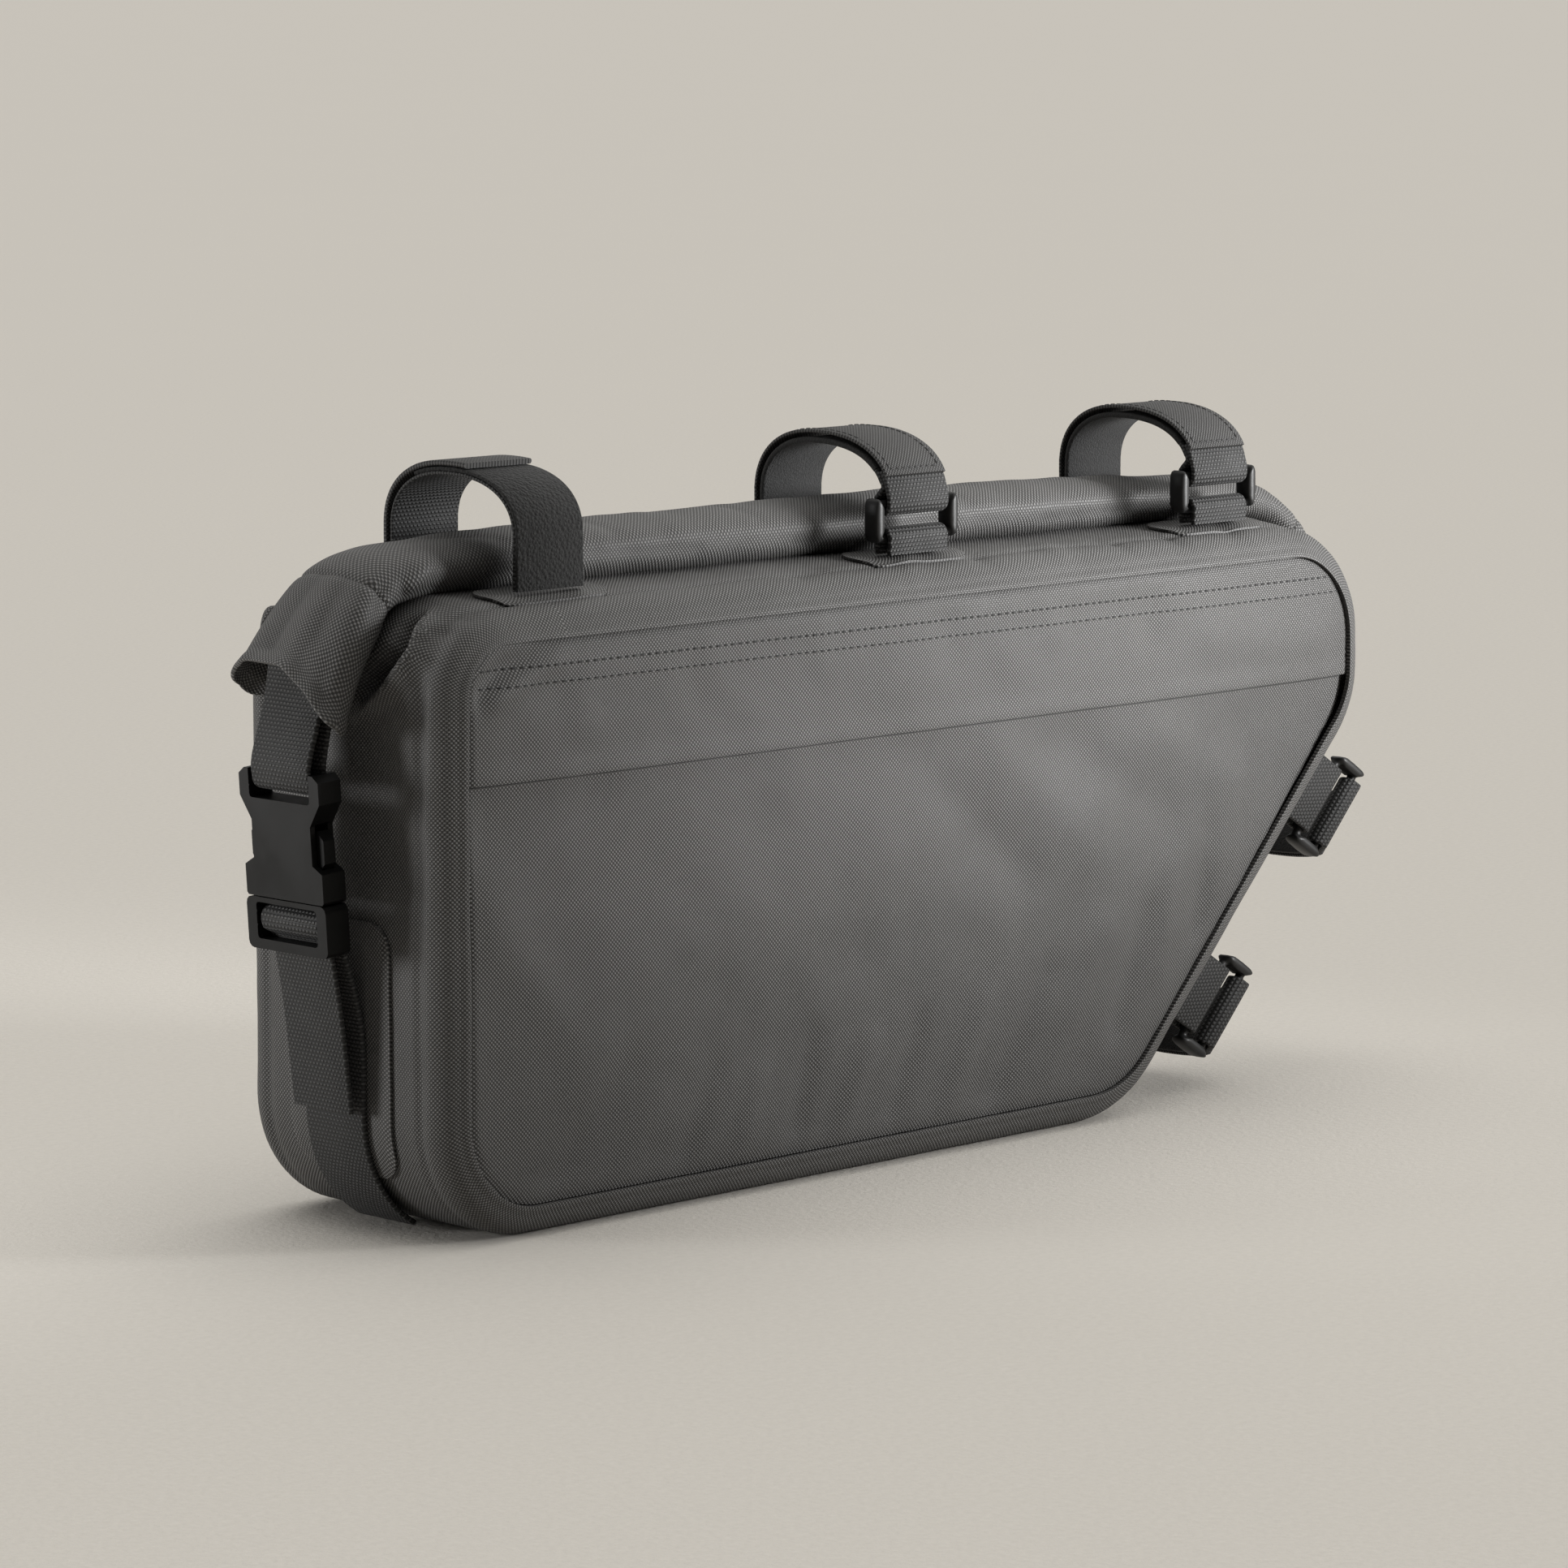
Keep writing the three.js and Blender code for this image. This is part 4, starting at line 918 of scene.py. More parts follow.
def slanted_place(along):
    x = LEFT_END + BASE_LENGTH + along * math.cos(SLANT)
    z = along * math.sin(SLANT)
    swell = END_BULGE * math.sin(SLANT) ** 2
    turn = Matrix.Rotation(math.pi - SLANT, 4, "Y")
    lean = Matrix.Identity(4)
    lean[0][2] = -math.tan(SLANTED_LEAN)
    out = (x + swell * math.sin(SLANT), 0, z - swell * math.cos(SLANT))
    return Matrix.Translation(out) @ turn @ lean


# Stations of the rolled collar from its left hem to its right one: place from the left end, height,
# half thickness, half width and how far its middle lies off the bag's middle, in millimetres
COLLAR = [
    (-14.8, 158.3, 9.2, 21.0, 4.0),
    (-12.2, 163.7, 8.9, 20.6, 3.2),
    (-8.7, 170.4, 8.5, 19.8, 2.3),
    (-3.4, 178.6, 8.1, 18.6, 1.7),
    (0.8, 183.6, 7.8, 17.0, 1.5),
    (4.5, 186.6, 7.6, 15.8, 1.3),
    (9.0, 189.0, 7.3, 15.0, 1.0),
    (16.0, 190.6, 7.0, 14.9, 0.7),
    (28, 191.2, 6.8, 14.8, 0.5),
    (44, 191.9, 7.1, 14.6, 0.5),
    (82, 192.4, 7.5, 14.4, 0.5),
    (175, 192.5, 7.6, 14.6, 0.5),
    (228, 192.5, 7.6, 14.4, 0.5),
    (282, 192.3, 7.4, 14.4, 0.5),
    (324, 191.6, 6.8, 14.4, 0.5),
    (354, 190.6, 5.8, 14.6, 0.5),
    (372, 190.4, 5.7, 14.8, 0.5),
    (384, 188.9, 5.6, 14.8, 0.3),
    (393, 185.9, 5.7, 15.0, 0),
    (402, 179.5, 5.4, 15.6, 0),
    (408, 170.5, 5.3, 16.4, 0),
    (410.5, 159.0, 5.4, 17.0, 0),
]
LEFT_SEAM = 32.5 * MM
RIGHT_SEAM = 23 * MM
SEAM_DENT = -1.0 * MM
SEAM_WIDE = 0.9 * MM
HEM_FLARE = 1.4 * MM
HEM_REACH = 27 * MM
COLLAR_WAVES = [(13 * MM, 0.55 * MM)]
# How far the hems rise along their width, from the front corner to the back one
HEM_SHARES = (-1.0, -0.65, -0.2, 0.4, 0.8, 1.0)
LEFT_HEM_RISES = (-8.0, -1.0, 3.6, 4.6, 3.4, 0.5)
RIGHT_HEM_RISES = (-3.0, 0.5, 2.0, 2.0, 0.5, -3.0)
INNER_HEM = 4.5 * MM
COLLAR_FOLDS = [
    fold((3, -17, 188), (-5, -19, 178), 2.6, (-2.6, -0.6)),
    fold((4, -13, 196), (-6, -16, 184), 2.2, (1.2, 0.6)),
    fold((-2, -8, 196), (-16, -10, 176), 3.0, (-0.9, -1.2)),
    fold((-6, -4, 192), (-22, -2, 166), 3.6, (0.6, 1.2)),
    fold((-4, 4, 193), (-18, 7, 172), 3.0, (-0.6, -1.3)),
    fold((-8, 12, 188), (-20, 15, 166), 2.8, (0.5, 1.0)),
    fold((-14, -14, 172), (-21, -16, 157), 2.6, (-0.4, -1.0)),
    fold((12, -14, 187), (60, -15, 190), 2.4, -0.9),
    fold((20, -8, 198), (70, -12, 200), 3, 0.8),
    fold((14, -15, 189), (26, -12, 198), 2.6, (1.4, 0.6)),
    fold((70, -15, 194), (128, -15, 191), 2.6, -0.7),
    fold((120, -14, 198), (180, -15, 195), 2.6, 0.6),
    fold((170, -15, 190), (230, -15, 193), 2.4, -0.7),
    fold((228, -14, 197), (290, -15, 194), 2.8, 0.6),
    fold((280, -15, 190), (340, -14, 191), 2.4, -0.7),
    fold((330, -12, 195), (384, -12, 188), 2.6, 0.6),
    fold((34, 0, 200), (52, -10, 198), 3, -0.8),
    fold((88, 2, 202), (96, -12, 198), 3, -0.6),
    fold((150, 2, 202), (156, -12, 198), 3, -0.5),
    fold((238, 2, 202), (246, -12, 198), 3, -0.6),
    fold((312, 2, 200), (318, -12, 196), 3, -0.7),
    fold((396, -12, 190), (412, -10, 168), 3.2, -1.2),
    fold((396, -2, 192), (416, 2, 162), 3.6, 0.9),
    fold((394, 10, 190), (412, 10, 166), 3.2, -1.0),
]


def smoothed(values, spacing, reach):
    """Values at even spacing, smoothed over a reach; their ends stay."""
    offsets = np.arange(-3 * reach, 3 * reach + spacing / 2, spacing)
    weights = np.exp(-(offsets / reach) ** 2)
    margin = len(offsets) // 2
    before = 2 * values[0] - values[margin:0:-1]
    after = 2 * values[-1] - values[-2:-margin - 2:-1]
    padded = np.concatenate([before, values, after])
    return np.convolve(padded, weights / weights.sum(), "valid")


def collar_surface():
    """Points round the collar and along it, and how far along it each column lies."""
    stations = np.array(COLLAR) * MM
    legs = np.linalg.norm(np.diff(stations[:, :2], axis=0), axis=1)
    at = np.concatenate([[0], np.cumsum(legs)])
    whole = at[-1]
    even = np.linspace(0, whole, round(whole / (0.5 * MM)))
    columns = [smoothed(np.interp(even, at, column), even[1], 3 * MM) for column in stations.T]
    spots = np.concatenate([
        np.arange(0, 60, 0.65) * MM, np.arange(60 * MM, whole - 48 * MM, 2 * MM),
        np.arange(whole - 48 * MM, whole - 0.4 * MM, 0.9 * MM), [whole],
    ])
    u, z, thick, wide, middle = (np.interp(spots, even, column) for column in columns)
    x = u + LEFT_END
    onward = np.stack([np.gradient(x, spots), np.gradient(z, spots)], -1)
    onward /= np.linalg.norm(onward, axis=1)[:, None]
    outward = np.stack([-onward[:, 1], onward[:, 0]], -1)
    angles = np.linspace(0, math.tau, 85)[:-1]
    across, out = np.cos(angles), np.sin(angles)
    out = np.sign(out) * np.abs(out) ** 0.8
    inner = INNER_HEM * np.clip(-out, 0, 1)
    left = (np.interp(across, HEM_SHARES, LEFT_HEM_RISES) * MM - inner)[:, None]
    right = (np.interp(across, HEM_SHARES, RIGHT_HEM_RISES) * MM - inner)[:, None]
    near_left = 1 - smoothstep(spots, 0, HEM_REACH)
    near_right = 1 - smoothstep(whole - spots, 0, HEM_REACH)
    along = left * near_left - right * near_right
    points = np.stack([
        x + outward[:, 0] * thick * out[:, None] + onward[:, 0] * along,
        middle + wide * across[:, None],
        z + outward[:, 1] * thick * out[:, None] + onward[:, 1] * along,
    ], -1)
    away = points - np.stack([x, middle, z], -1)
    away /= np.linalg.norm(away, axis=2)[..., None]
    crease = fold_height(points, COLLAR_FOLDS) + unevenness(points, COLLAR_WAVES)
    flare = HEM_FLARE * (1 - smoothstep(np.minimum(spots, whole - spots), 0, 6 * MM))
    seams = sum(
        np.exp(-((spots - seam) / SEAM_WIDE) ** 2) for seam in (LEFT_SEAM, whole - RIGHT_SEAM)
    )
    points = points + away * (crease + flare + SEAM_DENT * seams)[..., None]
    return points, spots, whole


def make_collar():
    """The rolled collar's cloth, cut at its two seams: piece, finish and node."""
    points, spots, whole = collar_surface()
    left = int(np.searchsorted(spots, LEFT_SEAM))
    right = int(np.searchsorted(spots, whole - RIGHT_SEAM))
    made = []
    for node, kind, finish, rows in (
        ("roll_tab_left", "sleeve", "inner", points[:, :left + 1]),
        ("roll_top", "skin", "coated", points[:, left:right + 1]),
        ("roll_tab_right", "sleeve", "inner", points[:, right:]),
    ):
        piece = lofted(f"{node}_{kind}", rows, closed=True)
        thicken(piece)
        if kind == "sleeve":
            round_edges(piece, 0.5 * MM)
        made.append((shade(piece, 60), finish, node))
    return made


# Stitches
STITCH_LONG = 2.3 * MM
STITCH_PITCH = 3.1 * MM
THREAD = 0.65 * MM
COVER_PITCH = 2.6 * MM
SEWN_IN = 2.4 * MM
SEWN_SHORT = 14 * MM
FLAP_SEAMS = (166 * MM, 161 * MM)


def make_stitch():
    """One stitch along X: a short thread whose ends dip into the cloth."""
    deselect()
    bpy.ops.mesh.primitive_cylinder_add(
        vertices=6, radius=THREAD / 2, depth=STITCH_LONG * 0.6, rotation=(0, math.pi / 2, 0)
    )
    stitch = bpy.context.object
    bpy.ops.object.transform_apply(location=True, rotation=True, scale=True)
    for side in (-1, 1):
        edit(stitch)
        pick_faces(stitch, lambda spot: spot.x * side > STITCH_LONG * 0.29)
        dip = (side * STITCH_LONG * 0.2, 0, -0.4 * THREAD)
        bpy.ops.mesh.extrude_region_move(TRANSFORM_OT_translate={"value": dip})
        centre = (side * STITCH_LONG / 2, 0, -0.4 * THREAD)
        bpy.ops.transform.resize(value=(1, 0.55, 0.55), center_override=centre)
        close()
    return stitch


def sew(name, runs, pitch=STITCH_PITCH):
    """Stitches along runs of (places, normals), joined in one piece."""
    pattern = make_stitch()
    rows = bmesh.new()
    for places, normals in runs:
        places = np.asarray(places, dtype=float)
        legs = np.linalg.norm(np.diff(places, axis=0), axis=1)
        way = np.concatenate([[0], np.cumsum(legs)])
        for at in np.arange(pitch / 2, way[-1], pitch):
            here, ahead, behind = (
                Vector([np.interp(spot, way, places[:, k]) for k in range(3)])
                for spot in (at, at + pitch / 2, at - pitch / 2)
            )
            up = Vector([np.interp(at, way, np.asarray(normals)[:, k]) for k in range(3)])
            along = (ahead - behind).normalized()
            across = up.cross(along).normalized()
            up = along.cross(across)
            turn = Matrix((along, across, up)).transposed().to_4x4()
            copy = pattern.data.copy()
            copy.transform(Matrix.Translation(here) @ turn)
            rows.from_mesh(copy)
            bpy.data.meshes.remove(copy)
    pattern.name = name
    rows.to_mesh(pattern.data)
    rows.free()
    return shade(pattern, 60)


def on_skin(piece, starts, direction, sunk=0.05 * MM):
    """Places and normals where lines in a direction meet a piece's skin."""
    places, normals = [], []
    for start in starts:
        hit, place, normal, _ = piece.ray_cast(Vector(start), Vector(direction))
        if hit:
            places.append(place - normal * sunk)
            normals.append(normal)
    return places, normals


def line(start, end, step=1.5 * MM):
    count = max(2, int(math.dist(start, end) / step))
    return [Vector(start).lerp(Vector(end), k / count) for k in range(count + 1)]


def cover_runs(cover):
    """Runs along both sides of a top strap's cover and across its front end."""
    spots = np.array([vertex.co for vertex in cover.data.vertices])
    middle = (spots[:, 0].min() + spots[:, 0].max()) / 2
    top = spots[:, 2].max()
    low = spots[spots[:, 1] < -20 * MM, 2].min() + SEWN_IN
    half = STRAP / 2 - SEWN_IN
    front, turn, stop, above = -BEFORE, -16 * MM, 12 * MM, top + BEFORE
    end = line((middle - half, front, low), (middle + half, front, low))
    runs = [on_skin(cover, end, FROM_FRONT)]
    for x in (middle - half, middle + half):
        up = on_skin(cover, line((x, front, low), (x, front, top - 4 * MM)), FROM_FRONT)
        over = on_skin(cover, line((x, turn, above), (x, stop, above)), (0, 0, -1))
        after = [k for k, place in enumerate(over[0]) if place.y > up[0][-1].y]
        runs.append((up[0] + [over[0][k] for k in after], up[1] + [over[1][k] for k in after]))
    return runs


def seam_run():
    """Run over the outer half of the left seam, where the sleeve meets the roll."""
    points, spots, _ = collar_surface()
    column = int(np.searchsorted(spots, LEFT_SEAM))
    half = len(points) // 2 + 1
    centre = points[:, column].mean(0)
    places = points[:half, column]
    return places, [Vector(place - centre).normalized() for place in places]


# Finishes
def new_group(name, inputs, outputs):
    """Shader node group with named sockets: (name, kind, value) in and (name, kind) out."""
    group = bpy.data.node_groups.new(name, "ShaderNodeTree")
    for socket, kind, value in inputs:
        made = group.interface.new_socket(socket, in_out="INPUT", socket_type=kind)
        if value is not None:
            made.default_value = value
    for socket, kind in outputs:
        group.interface.new_socket(socket, in_out="OUTPUT", socket_type=kind)
    tree = Tree(group)
    tree.given = group.nodes.new("NodeGroupInput")
    tree.result = group.nodes.new("NodeGroupOutput")
    return group, tree


class Tree:
    """Short ways to add and link nodes."""

    def __init__(self, tree):
        self.nodes, self.links = tree.nodes, tree.links

    def add(self, kind, **settings):
        node = self.nodes.new(kind)
        for key, value in settings.items():
            setattr(node, key, value)
        return node

    def feed(self, socket, value):
        if isinstance(value, bpy.types.NodeSocket):
            self.links.new(value, socket)
        elif value is not None:
            socket.default_value = value

    def math(self, operation, first, second=None, third=None):
        node = self.add("ShaderNodeMath", operation=operation)
        for socket, value in zip(node.inputs, (first, second, third)):
            self.feed(socket, value)
        return node.outputs[0]

    def noise(self, vector, scale, detail=3.0, rough=0.55):
        node = self.add("ShaderNodeTexNoise")
        keys = ("Vector", "Scale", "Detail", "Roughness")
        for key, value in zip(keys, (vector, scale, detail, rough)):
            self.feed(node.inputs[key], value)
        return node.outputs["Fac"]

    def blend(self, share, low, high, kind="MIX"):
        node = self.add("ShaderNodeMix", data_type="RGBA", blend_type=kind)
        for socket, value in ((0, share), (6, low), (7, high)):
            self.feed(node.inputs[socket], value)
        return node.outputs[2]

    def spread(self, value, low, high, out_low=0.0, out_high=1.0):
        node = self.add("ShaderNodeMapRange")
        keys = ("Value", "From Min", "From Max", "To Min", "To Max")
        for key, number in zip(keys, (value, low, high, out_low, out_high)):
            self.feed(node.inputs[key], number)
        return node.outputs[0]

    def bump(self, height, distance, strength=1.0, normal=None):
        node = self.add("ShaderNodeBump")
        self.feed(node.inputs["Height"], height)
        self.feed(node.inputs["Distance"], distance)
        self.feed(node.inputs["Strength"], strength)
        self.feed(node.inputs["Normal"], normal)
        return node.outputs[0]

    def group(self, group, **values):
        node = self.add("ShaderNodeGroup")
        node.node_tree = group
        for key, value in values.items():
            self.feed(node.inputs[key], value)
        return node.outputs


def woven_cells():
    """Plain weave under a coating: staggered cells of a pitch, as height and as a mask of the cell
    tops, which the colour uses for painted highlight on the tops and painted shade in the crevices.
    """
    group, tree = new_group(
        "woven cells",
        [("Cloth", "NodeSocketVector", None), ("Pitch", "NodeSocketFloat", 0.0016)],
        [("Height", "NodeSocketFloat"), ("Lit Cell Tops", "NodeSocketFloat")],
    )
    parts = tree.add("ShaderNodeSeparateXYZ")
    tree.feed(parts.inputs[0], tree.given.outputs["Cloth"])
    turn = tree.math("DIVIDE", math.tau, tree.given.outputs["Pitch"])
    wobble = tree.noise(tree.given.outputs["Cloth"], 90.0, 1.0)
    waves = []
    for socket in ("X", "Y"):
        phase = tree.math("MULTIPLY_ADD", parts.outputs[socket], turn, wobble)
        waves.append(tree.math("SINE", phase))
    cells = tree.math("MULTIPLY", *waves)
    height = tree.spread(cells, -0.35, 0.75)
    tree.feed(tree.result.inputs["Height"], height)
    tree.feed(tree.result.inputs["Lit Cell Tops"], tree.math("POWER", height, 1.6))
    return group


def webbing_ribs():
    """Ribs across a webbing: rows of short threads, each half a thread from the next row's, with a
    crest mask for painted highlight on the ribs and painted shade in the grooves.
    """
    group, tree = new_group(
        "webbing ribs",
        [("Cloth", "NodeSocketVector", None), ("Rib", "NodeSocketFloat", 0.0012)],
        [("Height", "NodeSocketFloat"), ("Lit Crest", "NodeSocketFloat")],
    )
    parts = tree.add("ShaderNodeSeparateXYZ")
    tree.feed(parts.inputs[0], tree.given.outputs["Cloth"])
    turn = tree.math("DIVIDE", math.tau, tree.given.outputs["Rib"])
    wobble = tree.math("MULTIPLY", tree.noise(tree.given.outputs["Cloth"], 200.0, 2.0), 1.2)
    along = tree.math("MULTIPLY_ADD", parts.outputs["Y"], turn, wobble)
    across = tree.math("MULTIPLY_ADD", parts.outputs["X"], tree.math("MULTIPLY", turn, 0.8), wobble)
    rib = tree.spread(tree.math("SINE", along), -0.9, 0.7)
    # The sign of the half-speed wave tells even rows from odd ones
    row = tree.math("SIGN", tree.math("SINE", tree.math("MULTIPLY", along, 0.5)))
    thread = tree.math("MULTIPLY", row, tree.math("SINE", across))
    thread = tree.spread(thread, -0.9, 0.5, 0.08, 1.0)
    height = tree.math("MULTIPLY", rib, thread)
    tree.feed(tree.result.inputs["Height"], height)
    tree.feed(tree.result.inputs["Lit Crest"], tree.math("POWER", height, 1.3))
    return group


def handling():
    """Uneven tone and shine from handling: broad mottling, and fine pale specks of wear."""
    group, tree = new_group(
        "handling",
        [("Place", "NodeSocketVector", None), ("Size", "NodeSocketFloat", 24.0)],
        [("Mottle", "NodeSocketFloat"), ("Specks", "NodeSocketFloat")],
    )
    place, size = tree.given.outputs["Place"], tree.given.outputs["Size"]
    mottle = tree.spread(tree.noise(place, size, 4.0, 0.6), 0.3, 0.7)
    fine = tree.noise(place, tree.math("MULTIPLY", size, 46.0), 2.0, 0.6)
    tree.feed(tree.result.inputs["Mottle"], mottle)
    tree.feed(tree.result.inputs["Specks"], tree.spread(fine, 0.62, 0.78))
    return group


GROUPS = {"cells": woven_cells(), "ribs": webbing_ribs(), "handling": handling()}


def new_material(name):
    """A material, its tree, its shader and the object's own coordinates in it."""
    material = bpy.data.materials.new(name)
    material.use_nodes = True
    tree = Tree(material.node_tree)
    shader = material.node_tree.nodes["Principled BSDF"]
    return material, tree, shader, tree.add("ShaderNodeTexCoord").outputs["Object"]


def coat(tree, shader, color, rough, normal):
    for key, value in (("Base Color", color), ("Roughness", rough), ("Normal", normal)):
        tree.feed(shader.inputs[key], value)


def grey(value, warm=1.0):
    return (value * warm, value, value / warm, 1.0)


def cloth_material(name, tone, rough, pitch, weave_high, mottle_share=0.14):
    material, tree, shader, place = new_material(name)
    weave = tree.add("ShaderNodeUVMap", uv_map="weave").outputs[0]
    cells = tree.group(GROUPS["cells"], Cloth=weave, Pitch=pitch)
    worn = tree.group(GROUPS["handling"], Place=place)
    # Painted shade in the crevices between weave cells and painted highlight on the cell tops
    color = tree.blend(cells["Lit Cell Tops"], grey(tone * 0.28, 1.03), grey(tone * 2.1, 1.02))
    shadow = tree.spread(worn["Mottle"], 0, 1, 1 - mottle_share, 1 + mottle_share)
    color = tree.blend(1.0, color, shadow, "MULTIPLY")
    color = tree.blend(tree.math("MULTIPLY", worn["Specks"], 0.06), color, grey(tone * 2.2))
    shine = tree.spread(worn["Mottle"], 0, 1, rough - 0.06, rough + 0.06)
    shine = tree.math("SUBTRACT", shine, tree.math("MULTIPLY", cells["Lit Cell Tops"], 0.08))
    normal = tree.bump(cells["Height"], weave_high)
    coat(tree, shader, color, shine, tree.bump(worn["Mottle"], 0.1 * MM, 0.5, normal))
    return material


def webbing_material(name, tone, rough, rib, high):
    material, tree, shader, place = new_material(name)
    weave = tree.add("ShaderNodeUVMap", uv_map="weave").outputs[0]
    ribs = tree.group(GROUPS["ribs"], Cloth=weave, Rib=rib)
    worn = tree.group(GROUPS["handling"], Place=place, Size=60.0)
    # Painted shade in the grooves between ribs and painted highlight on their crests
    color = tree.blend(ribs["Lit Crest"], grey(tone * 0.06), grey(tone * 2.5))
    fuzz = tree.math("MULTIPLY", worn["Specks"], 0.15)
    color = tree.blend(fuzz, color, grey(tone * 2.6))
    shine = tree.spread(worn["Mottle"], 0, 1, rough - 0.05, rough + 0.08)
    normal = tree.bump(ribs["Height"], high)
    fuzzy = tree.bump(tree.noise(place, 2200.0, 2.0), 0.02 * MM, 0.7, normal)
    coat(tree, shader, color, shine, fuzzy)
    shader.inputs["Sheen Weight"].default_value = 0.03
    return material


def pile_material(name, tone, scale, high):
    material, tree, shader, place = new_material(name)
    tufts = tree.add("ShaderNodeTexVoronoi", feature="F1")
    tree.feed(tufts.inputs["Vector"], place)
    tree.feed(tufts.inputs["Scale"], scale)
    round_top = tree.spread(tufts.outputs["Distance"], 0.0, 0.8, 1.0, 0.0)
    fibres = tree.noise(place, scale * 3.2, 3.0, 0.7)
    tips = tree.spread(fibres, 0.46, 0.62)
    color = tree.blend(tips, grey(tone * 0.3), grey(tone * 4.5))
    normal = tree.bump(fibres, high * 0.5, 0.8, tree.bump(round_top, high))
    coat(tree, shader, color, tree.spread(fibres, 0, 1, 0.8, 1.0), normal)
    shader.inputs["Sheen Weight"].default_value = 0.05
    return material


def plastic_material(name, tone, rough, specular):
    material, tree, shader, place = new_material(name)
    worn = tree.group(GROUPS["handling"], Place=place, Size=45.0)
    color = tree.blend(worn["Mottle"], grey(tone * 0.8), grey(tone * 1.2))
    color = tree.blend(tree.math("MULTIPLY", worn["Specks"], 0.3), color, grey(tone * 4))
    shine = tree.spread(worn["Mottle"], 0, 1, rough - 0.05, rough + 0.07)
    coat(tree, shader, color, shine, tree.bump(tree.noise(place, 2600.0, 2.0), 0.03 * MM, 0.5))
    shader.inputs["Specular IOR Level"].default_value = specular
    return material


def thread_material(name, tone):
    material, tree, shader, place = new_material(name)
    twist = tree.add("ShaderNodeTexWave", bands_direction="DIAGONAL")
    tree.feed(twist.inputs["Vector"], place)
    tree.feed(twist.inputs["Scale"], 900.0)
    turns = twist.outputs["Fac"]
    color = tree.blend(turns, grey(tone * 0.7), grey(tone * 1.2))
    coat(tree, shader, color, tree.spread(turns, 0, 1, 0.6, 0.7), tree.bump(turns, 0.05 * MM, 0.7))
    return material


def floor_material():
    material, tree, shader, place = new_material("paper_floor")
    fine = tree.noise(place, 420.0, 4.0, 0.7)
    broad = tree.noise(place, 2.0, 2.0)
    color = tree.blend(fine, (0.60, 0.57, 0.52, 1), (0.76, 0.725, 0.67, 1))
    color = tree.blend(tree.math("MULTIPLY", broad, 0.3), color, (0.66, 0.63, 0.58, 1))
    coat(tree, shader, color, tree.spread(fine, 0, 1, 0.85, 0.95), tree.bump(fine, 0.6 * MM, 0.6))
    return material


MATERIALS = {
    "coated": cloth_material("coated_cloth", 0.082, 0.62, 1.3 * MM, 0.24 * MM),
    "inner": cloth_material("inner_cloth", 0.078, 0.62, 1.25 * MM, 0.22 * MM),
    "patch": cloth_material("patch_cloth", 0.082, 0.62, 1.3 * MM, 0.2 * MM),
    "strap_cloth": cloth_material("strap_cloth", 0.034, 0.64, 1.2 * MM, 0.22 * MM),
    "webbing": webbing_material("webbing_weave", 0.023, 0.68, 1.2 * MM, 0.38 * MM),
    "pile": pile_material("hook_pile", 0.0045, 900.0, 0.4 * MM),
    "lining": pile_material("lining_felt", 0.008, 1500.0, 0.18 * MM),
    "plastic": plastic_material("moulded_plastic", 0.003, 0.36, 0.16),
    "ring": plastic_material("ring_plastic", 0.012, 0.45, 0.35),
    # Dark thread whose very dark tone also paints the shade of the stitch holes; the same finish
    # colours the painted shadow strip under the flap
    "thread": thread_material("dark_thread_and_painted_shadow", 0.007),
}
SLOTS = {
    "coated": "coated_cloth", "inner": "coated_cloth", "patch": "coated_cloth",
    "strap_cloth": "webbing", "webbing": "webbing", "thread": "webbing",
    "pile": "pile", "lining": "pile", "plastic": "black_plastic", "ring": "black_plastic",
}


def dress(piece, finish, *nodes):
    return wear(piece, SLOTS[finish], MATERIALS[finish], *nodes)


# The bag
dress(make_gusset(), "coated", "gusset")
FRONT = dress(make_front_panel(), "coated", "front_panel")
dress(make_back_panel(), "coated", "back_panel")
FLAP = dress(make_pocket_flap(), "coated", "pocket_flap")
# A dark strip on the front panel paints the flap's shadow under its lower edge
dress(make_flap_shadow_strip(), "thread")
for piece, finish, node in make_collar():
    dress(piece, finish, node)

# Left and right fittings
for piece in (make_upper_webbing(), make_lower_webbing(), make_right_webbing()):
    dress(piece, "webbing", piece.name.removesuffix("_weave"))
dress(moulded("buckle_socket", "buckle_socket_shell", 0.8 * MM), "plastic", "buckle_socket")
dress(moulded("buckle_plug", "buckle_plug_prongs", 0.6 * MM), "plastic", "buckle_plug")
patch_low, patch_high = (corner.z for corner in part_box("end_patch"))
end_way = way_to(LEFT_END, (patch_low + patch_high) / 2)
end_patch = make_patch("end_patch_skin", end_way, 0, patch_high - patch_low, *END_PATCH)
dress(end_patch, "patch", "end_patch")

# Top straps
TOP_COVERS = []
for number, centre in enumerate(TOP_STRAPS, 1):
    way = way_to(LEFT_END + centre, BAG_HEIGHT)
    patch = make_patch(f"strap_patch_{number}_skin", way, *STRAP_PATCH)
    dress(patch, "patch", f"strap_patch_{number}")
    if number == 1:
        made = pile_strap(TOP_ARCH)
    else:
        made = buckled_strap(number, TOP_ARCH, TOP_RING_RISE, PATCH_FOOT)
    for piece, finish, node in made:
        dress(stand(piece, top_place(centre)), finish, node)
        if piece.name.endswith("_cover"):
            TOP_COVERS.append(piece)

# Slanted straps
for number, along in enumerate(SLANTED_STRAPS, 4):
    for piece, finish, node in buckled_strap(number, SLANTED_ARCH, SLANTED_RING_RISE, GAP):
        dress(stand(piece, slanted_place(along)), finish, node)

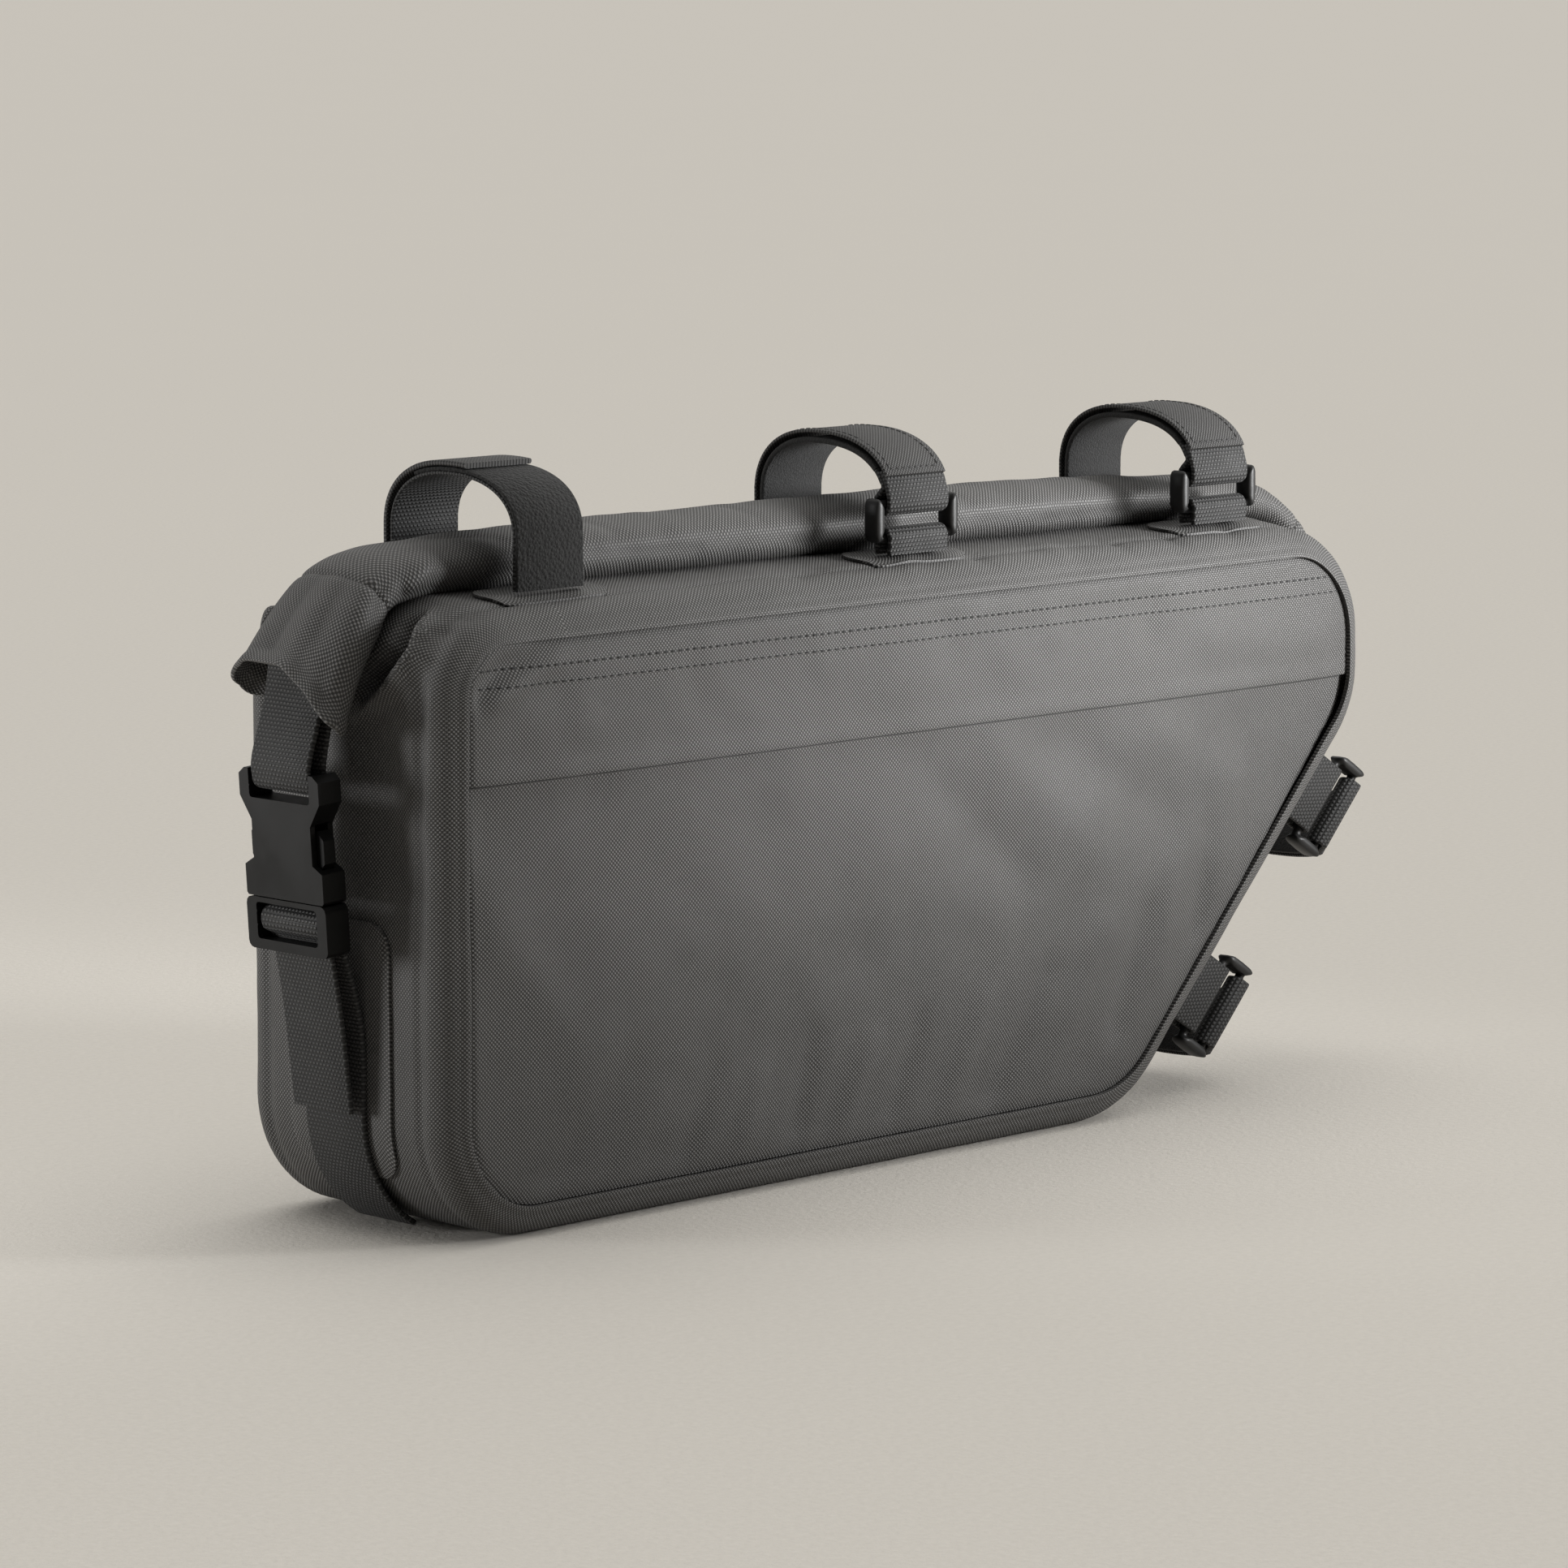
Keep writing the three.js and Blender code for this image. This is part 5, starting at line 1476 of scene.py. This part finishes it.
# Seams sewn with visible thread
left, right = LEFT_END + SEWN_SHORT, LEFT_END + BAG_LENGTH - SEWN_SHORT
flap_runs = [
    on_skin(FLAP, line((left, -BEFORE, height), (right, -BEFORE, height)), FROM_FRONT)
    for height in FLAP_SEAMS
]
cover_lines = [run for cover in TOP_COVERS for run in cover_runs(cover)]
dress(sew("flap_stitches", flap_runs), "thread")
dress(sew("cover_stitches", cover_lines, COVER_PITCH), "thread")
dress(sew("collar_stitches", [seam_run()], COVER_PITCH), "thread")

# Floor and light
FLOOR_SIZE = 90
DAYLIGHT = (1.0, 0.985, 0.955, 1)


def make_floor():
    deselect()
    bpy.ops.mesh.primitive_plane_add(size=FLOOR_SIZE)
    floor = bpy.context.object
    floor.name = "paper_floor"
    floor.data.materials.append(floor_material())


def soft_box(name, place, target, size, power, spread):
    """Area light aimed at a target, in watts, with the angle that its beam spreads over."""
    data = bpy.data.lights.new(name, "AREA")
    data.shape = "RECTANGLE"
    data.size, data.size_y = size
    data.energy = power
    data.spread = math.radians(spread)
    light = bpy.data.objects.new(name, data)
    light.location = place
    light.visible_camera = False
    light.rotation_euler = (Vector(target) - Vector(place)).to_track_quat("-Z", "Y").to_euler()
    bpy.context.scene.collection.objects.link(light)


def sky(seen, dim, bright, toward):
    """Studio light from all round, brighter toward one side; the camera sees one plain tone."""
    world = bpy.data.worlds.new("studio")
    bpy.context.scene.world = world
    world.use_nodes = True
    tree = Tree(world.node_tree)
    background = world.node_tree.nodes["Background"]
    side = tree.add("ShaderNodeVectorMath", operation="DOT_PRODUCT")
    tree.feed(side.inputs[0], tree.add("ShaderNodeTexCoord").outputs["Generated"])
    side.inputs[1].default_value = Vector(toward).normalized()
    share = tree.spread(side.outputs["Value"], 0.2, 1.0, 0.0, 1.0)
    share = tree.math("POWER", share, 2.0)
    glow = tree.spread(share, 0, 1, dim, bright)
    by_eye = tree.add("ShaderNodeLightPath").outputs["Is Camera Ray"]
    tree.feed(background.inputs["Strength"], tree.spread(by_eye, 0, 1, glow, 1.0))
    tree.feed(background.inputs["Color"], tree.blend(by_eye, DAYLIGHT, (*seen, 1)))


make_floor()
sky(seen=(0.602, 0.577, 0.528), dim=0.03, bright=2.04, toward=(0.3, 0.16, 1.0))
soft_box(
    "right_box", place=(0.50, -0.46, 0.26), target=(0.14, -0.03, 0.19), size=(0.30, 0.18),
    power=0.74, spread=44,
)
soft_box(
    "rim_box", place=(-0.72, 0.42, 0.16), target=(-0.19, 0.03, 0.12), size=(0.25, 0.2),
    power=0.18, spread=34,
)
bpy.context.scene.view_settings.view_transform = "Standard"

# Camera at the photograph's viewing angle, on a 36 mm frame
CAMERA_PLACE = (-1.2998, -1.3251, 0.3725)
CAMERA_DOWN = 7.86
CAMERA_HEADING = -45
LENS = 141.24
camera_data = bpy.data.cameras.new("camera")
camera_data.sensor_width = 36
camera_data.lens = LENS
camera = bpy.data.objects.new("camera", camera_data)
camera.location = CAMERA_PLACE
camera.rotation_euler = (math.radians(90 - CAMERA_DOWN), 0, math.radians(CAMERA_HEADING))
bpy.context.scene.collection.objects.link(camera)
bpy.context.scene.camera = camera
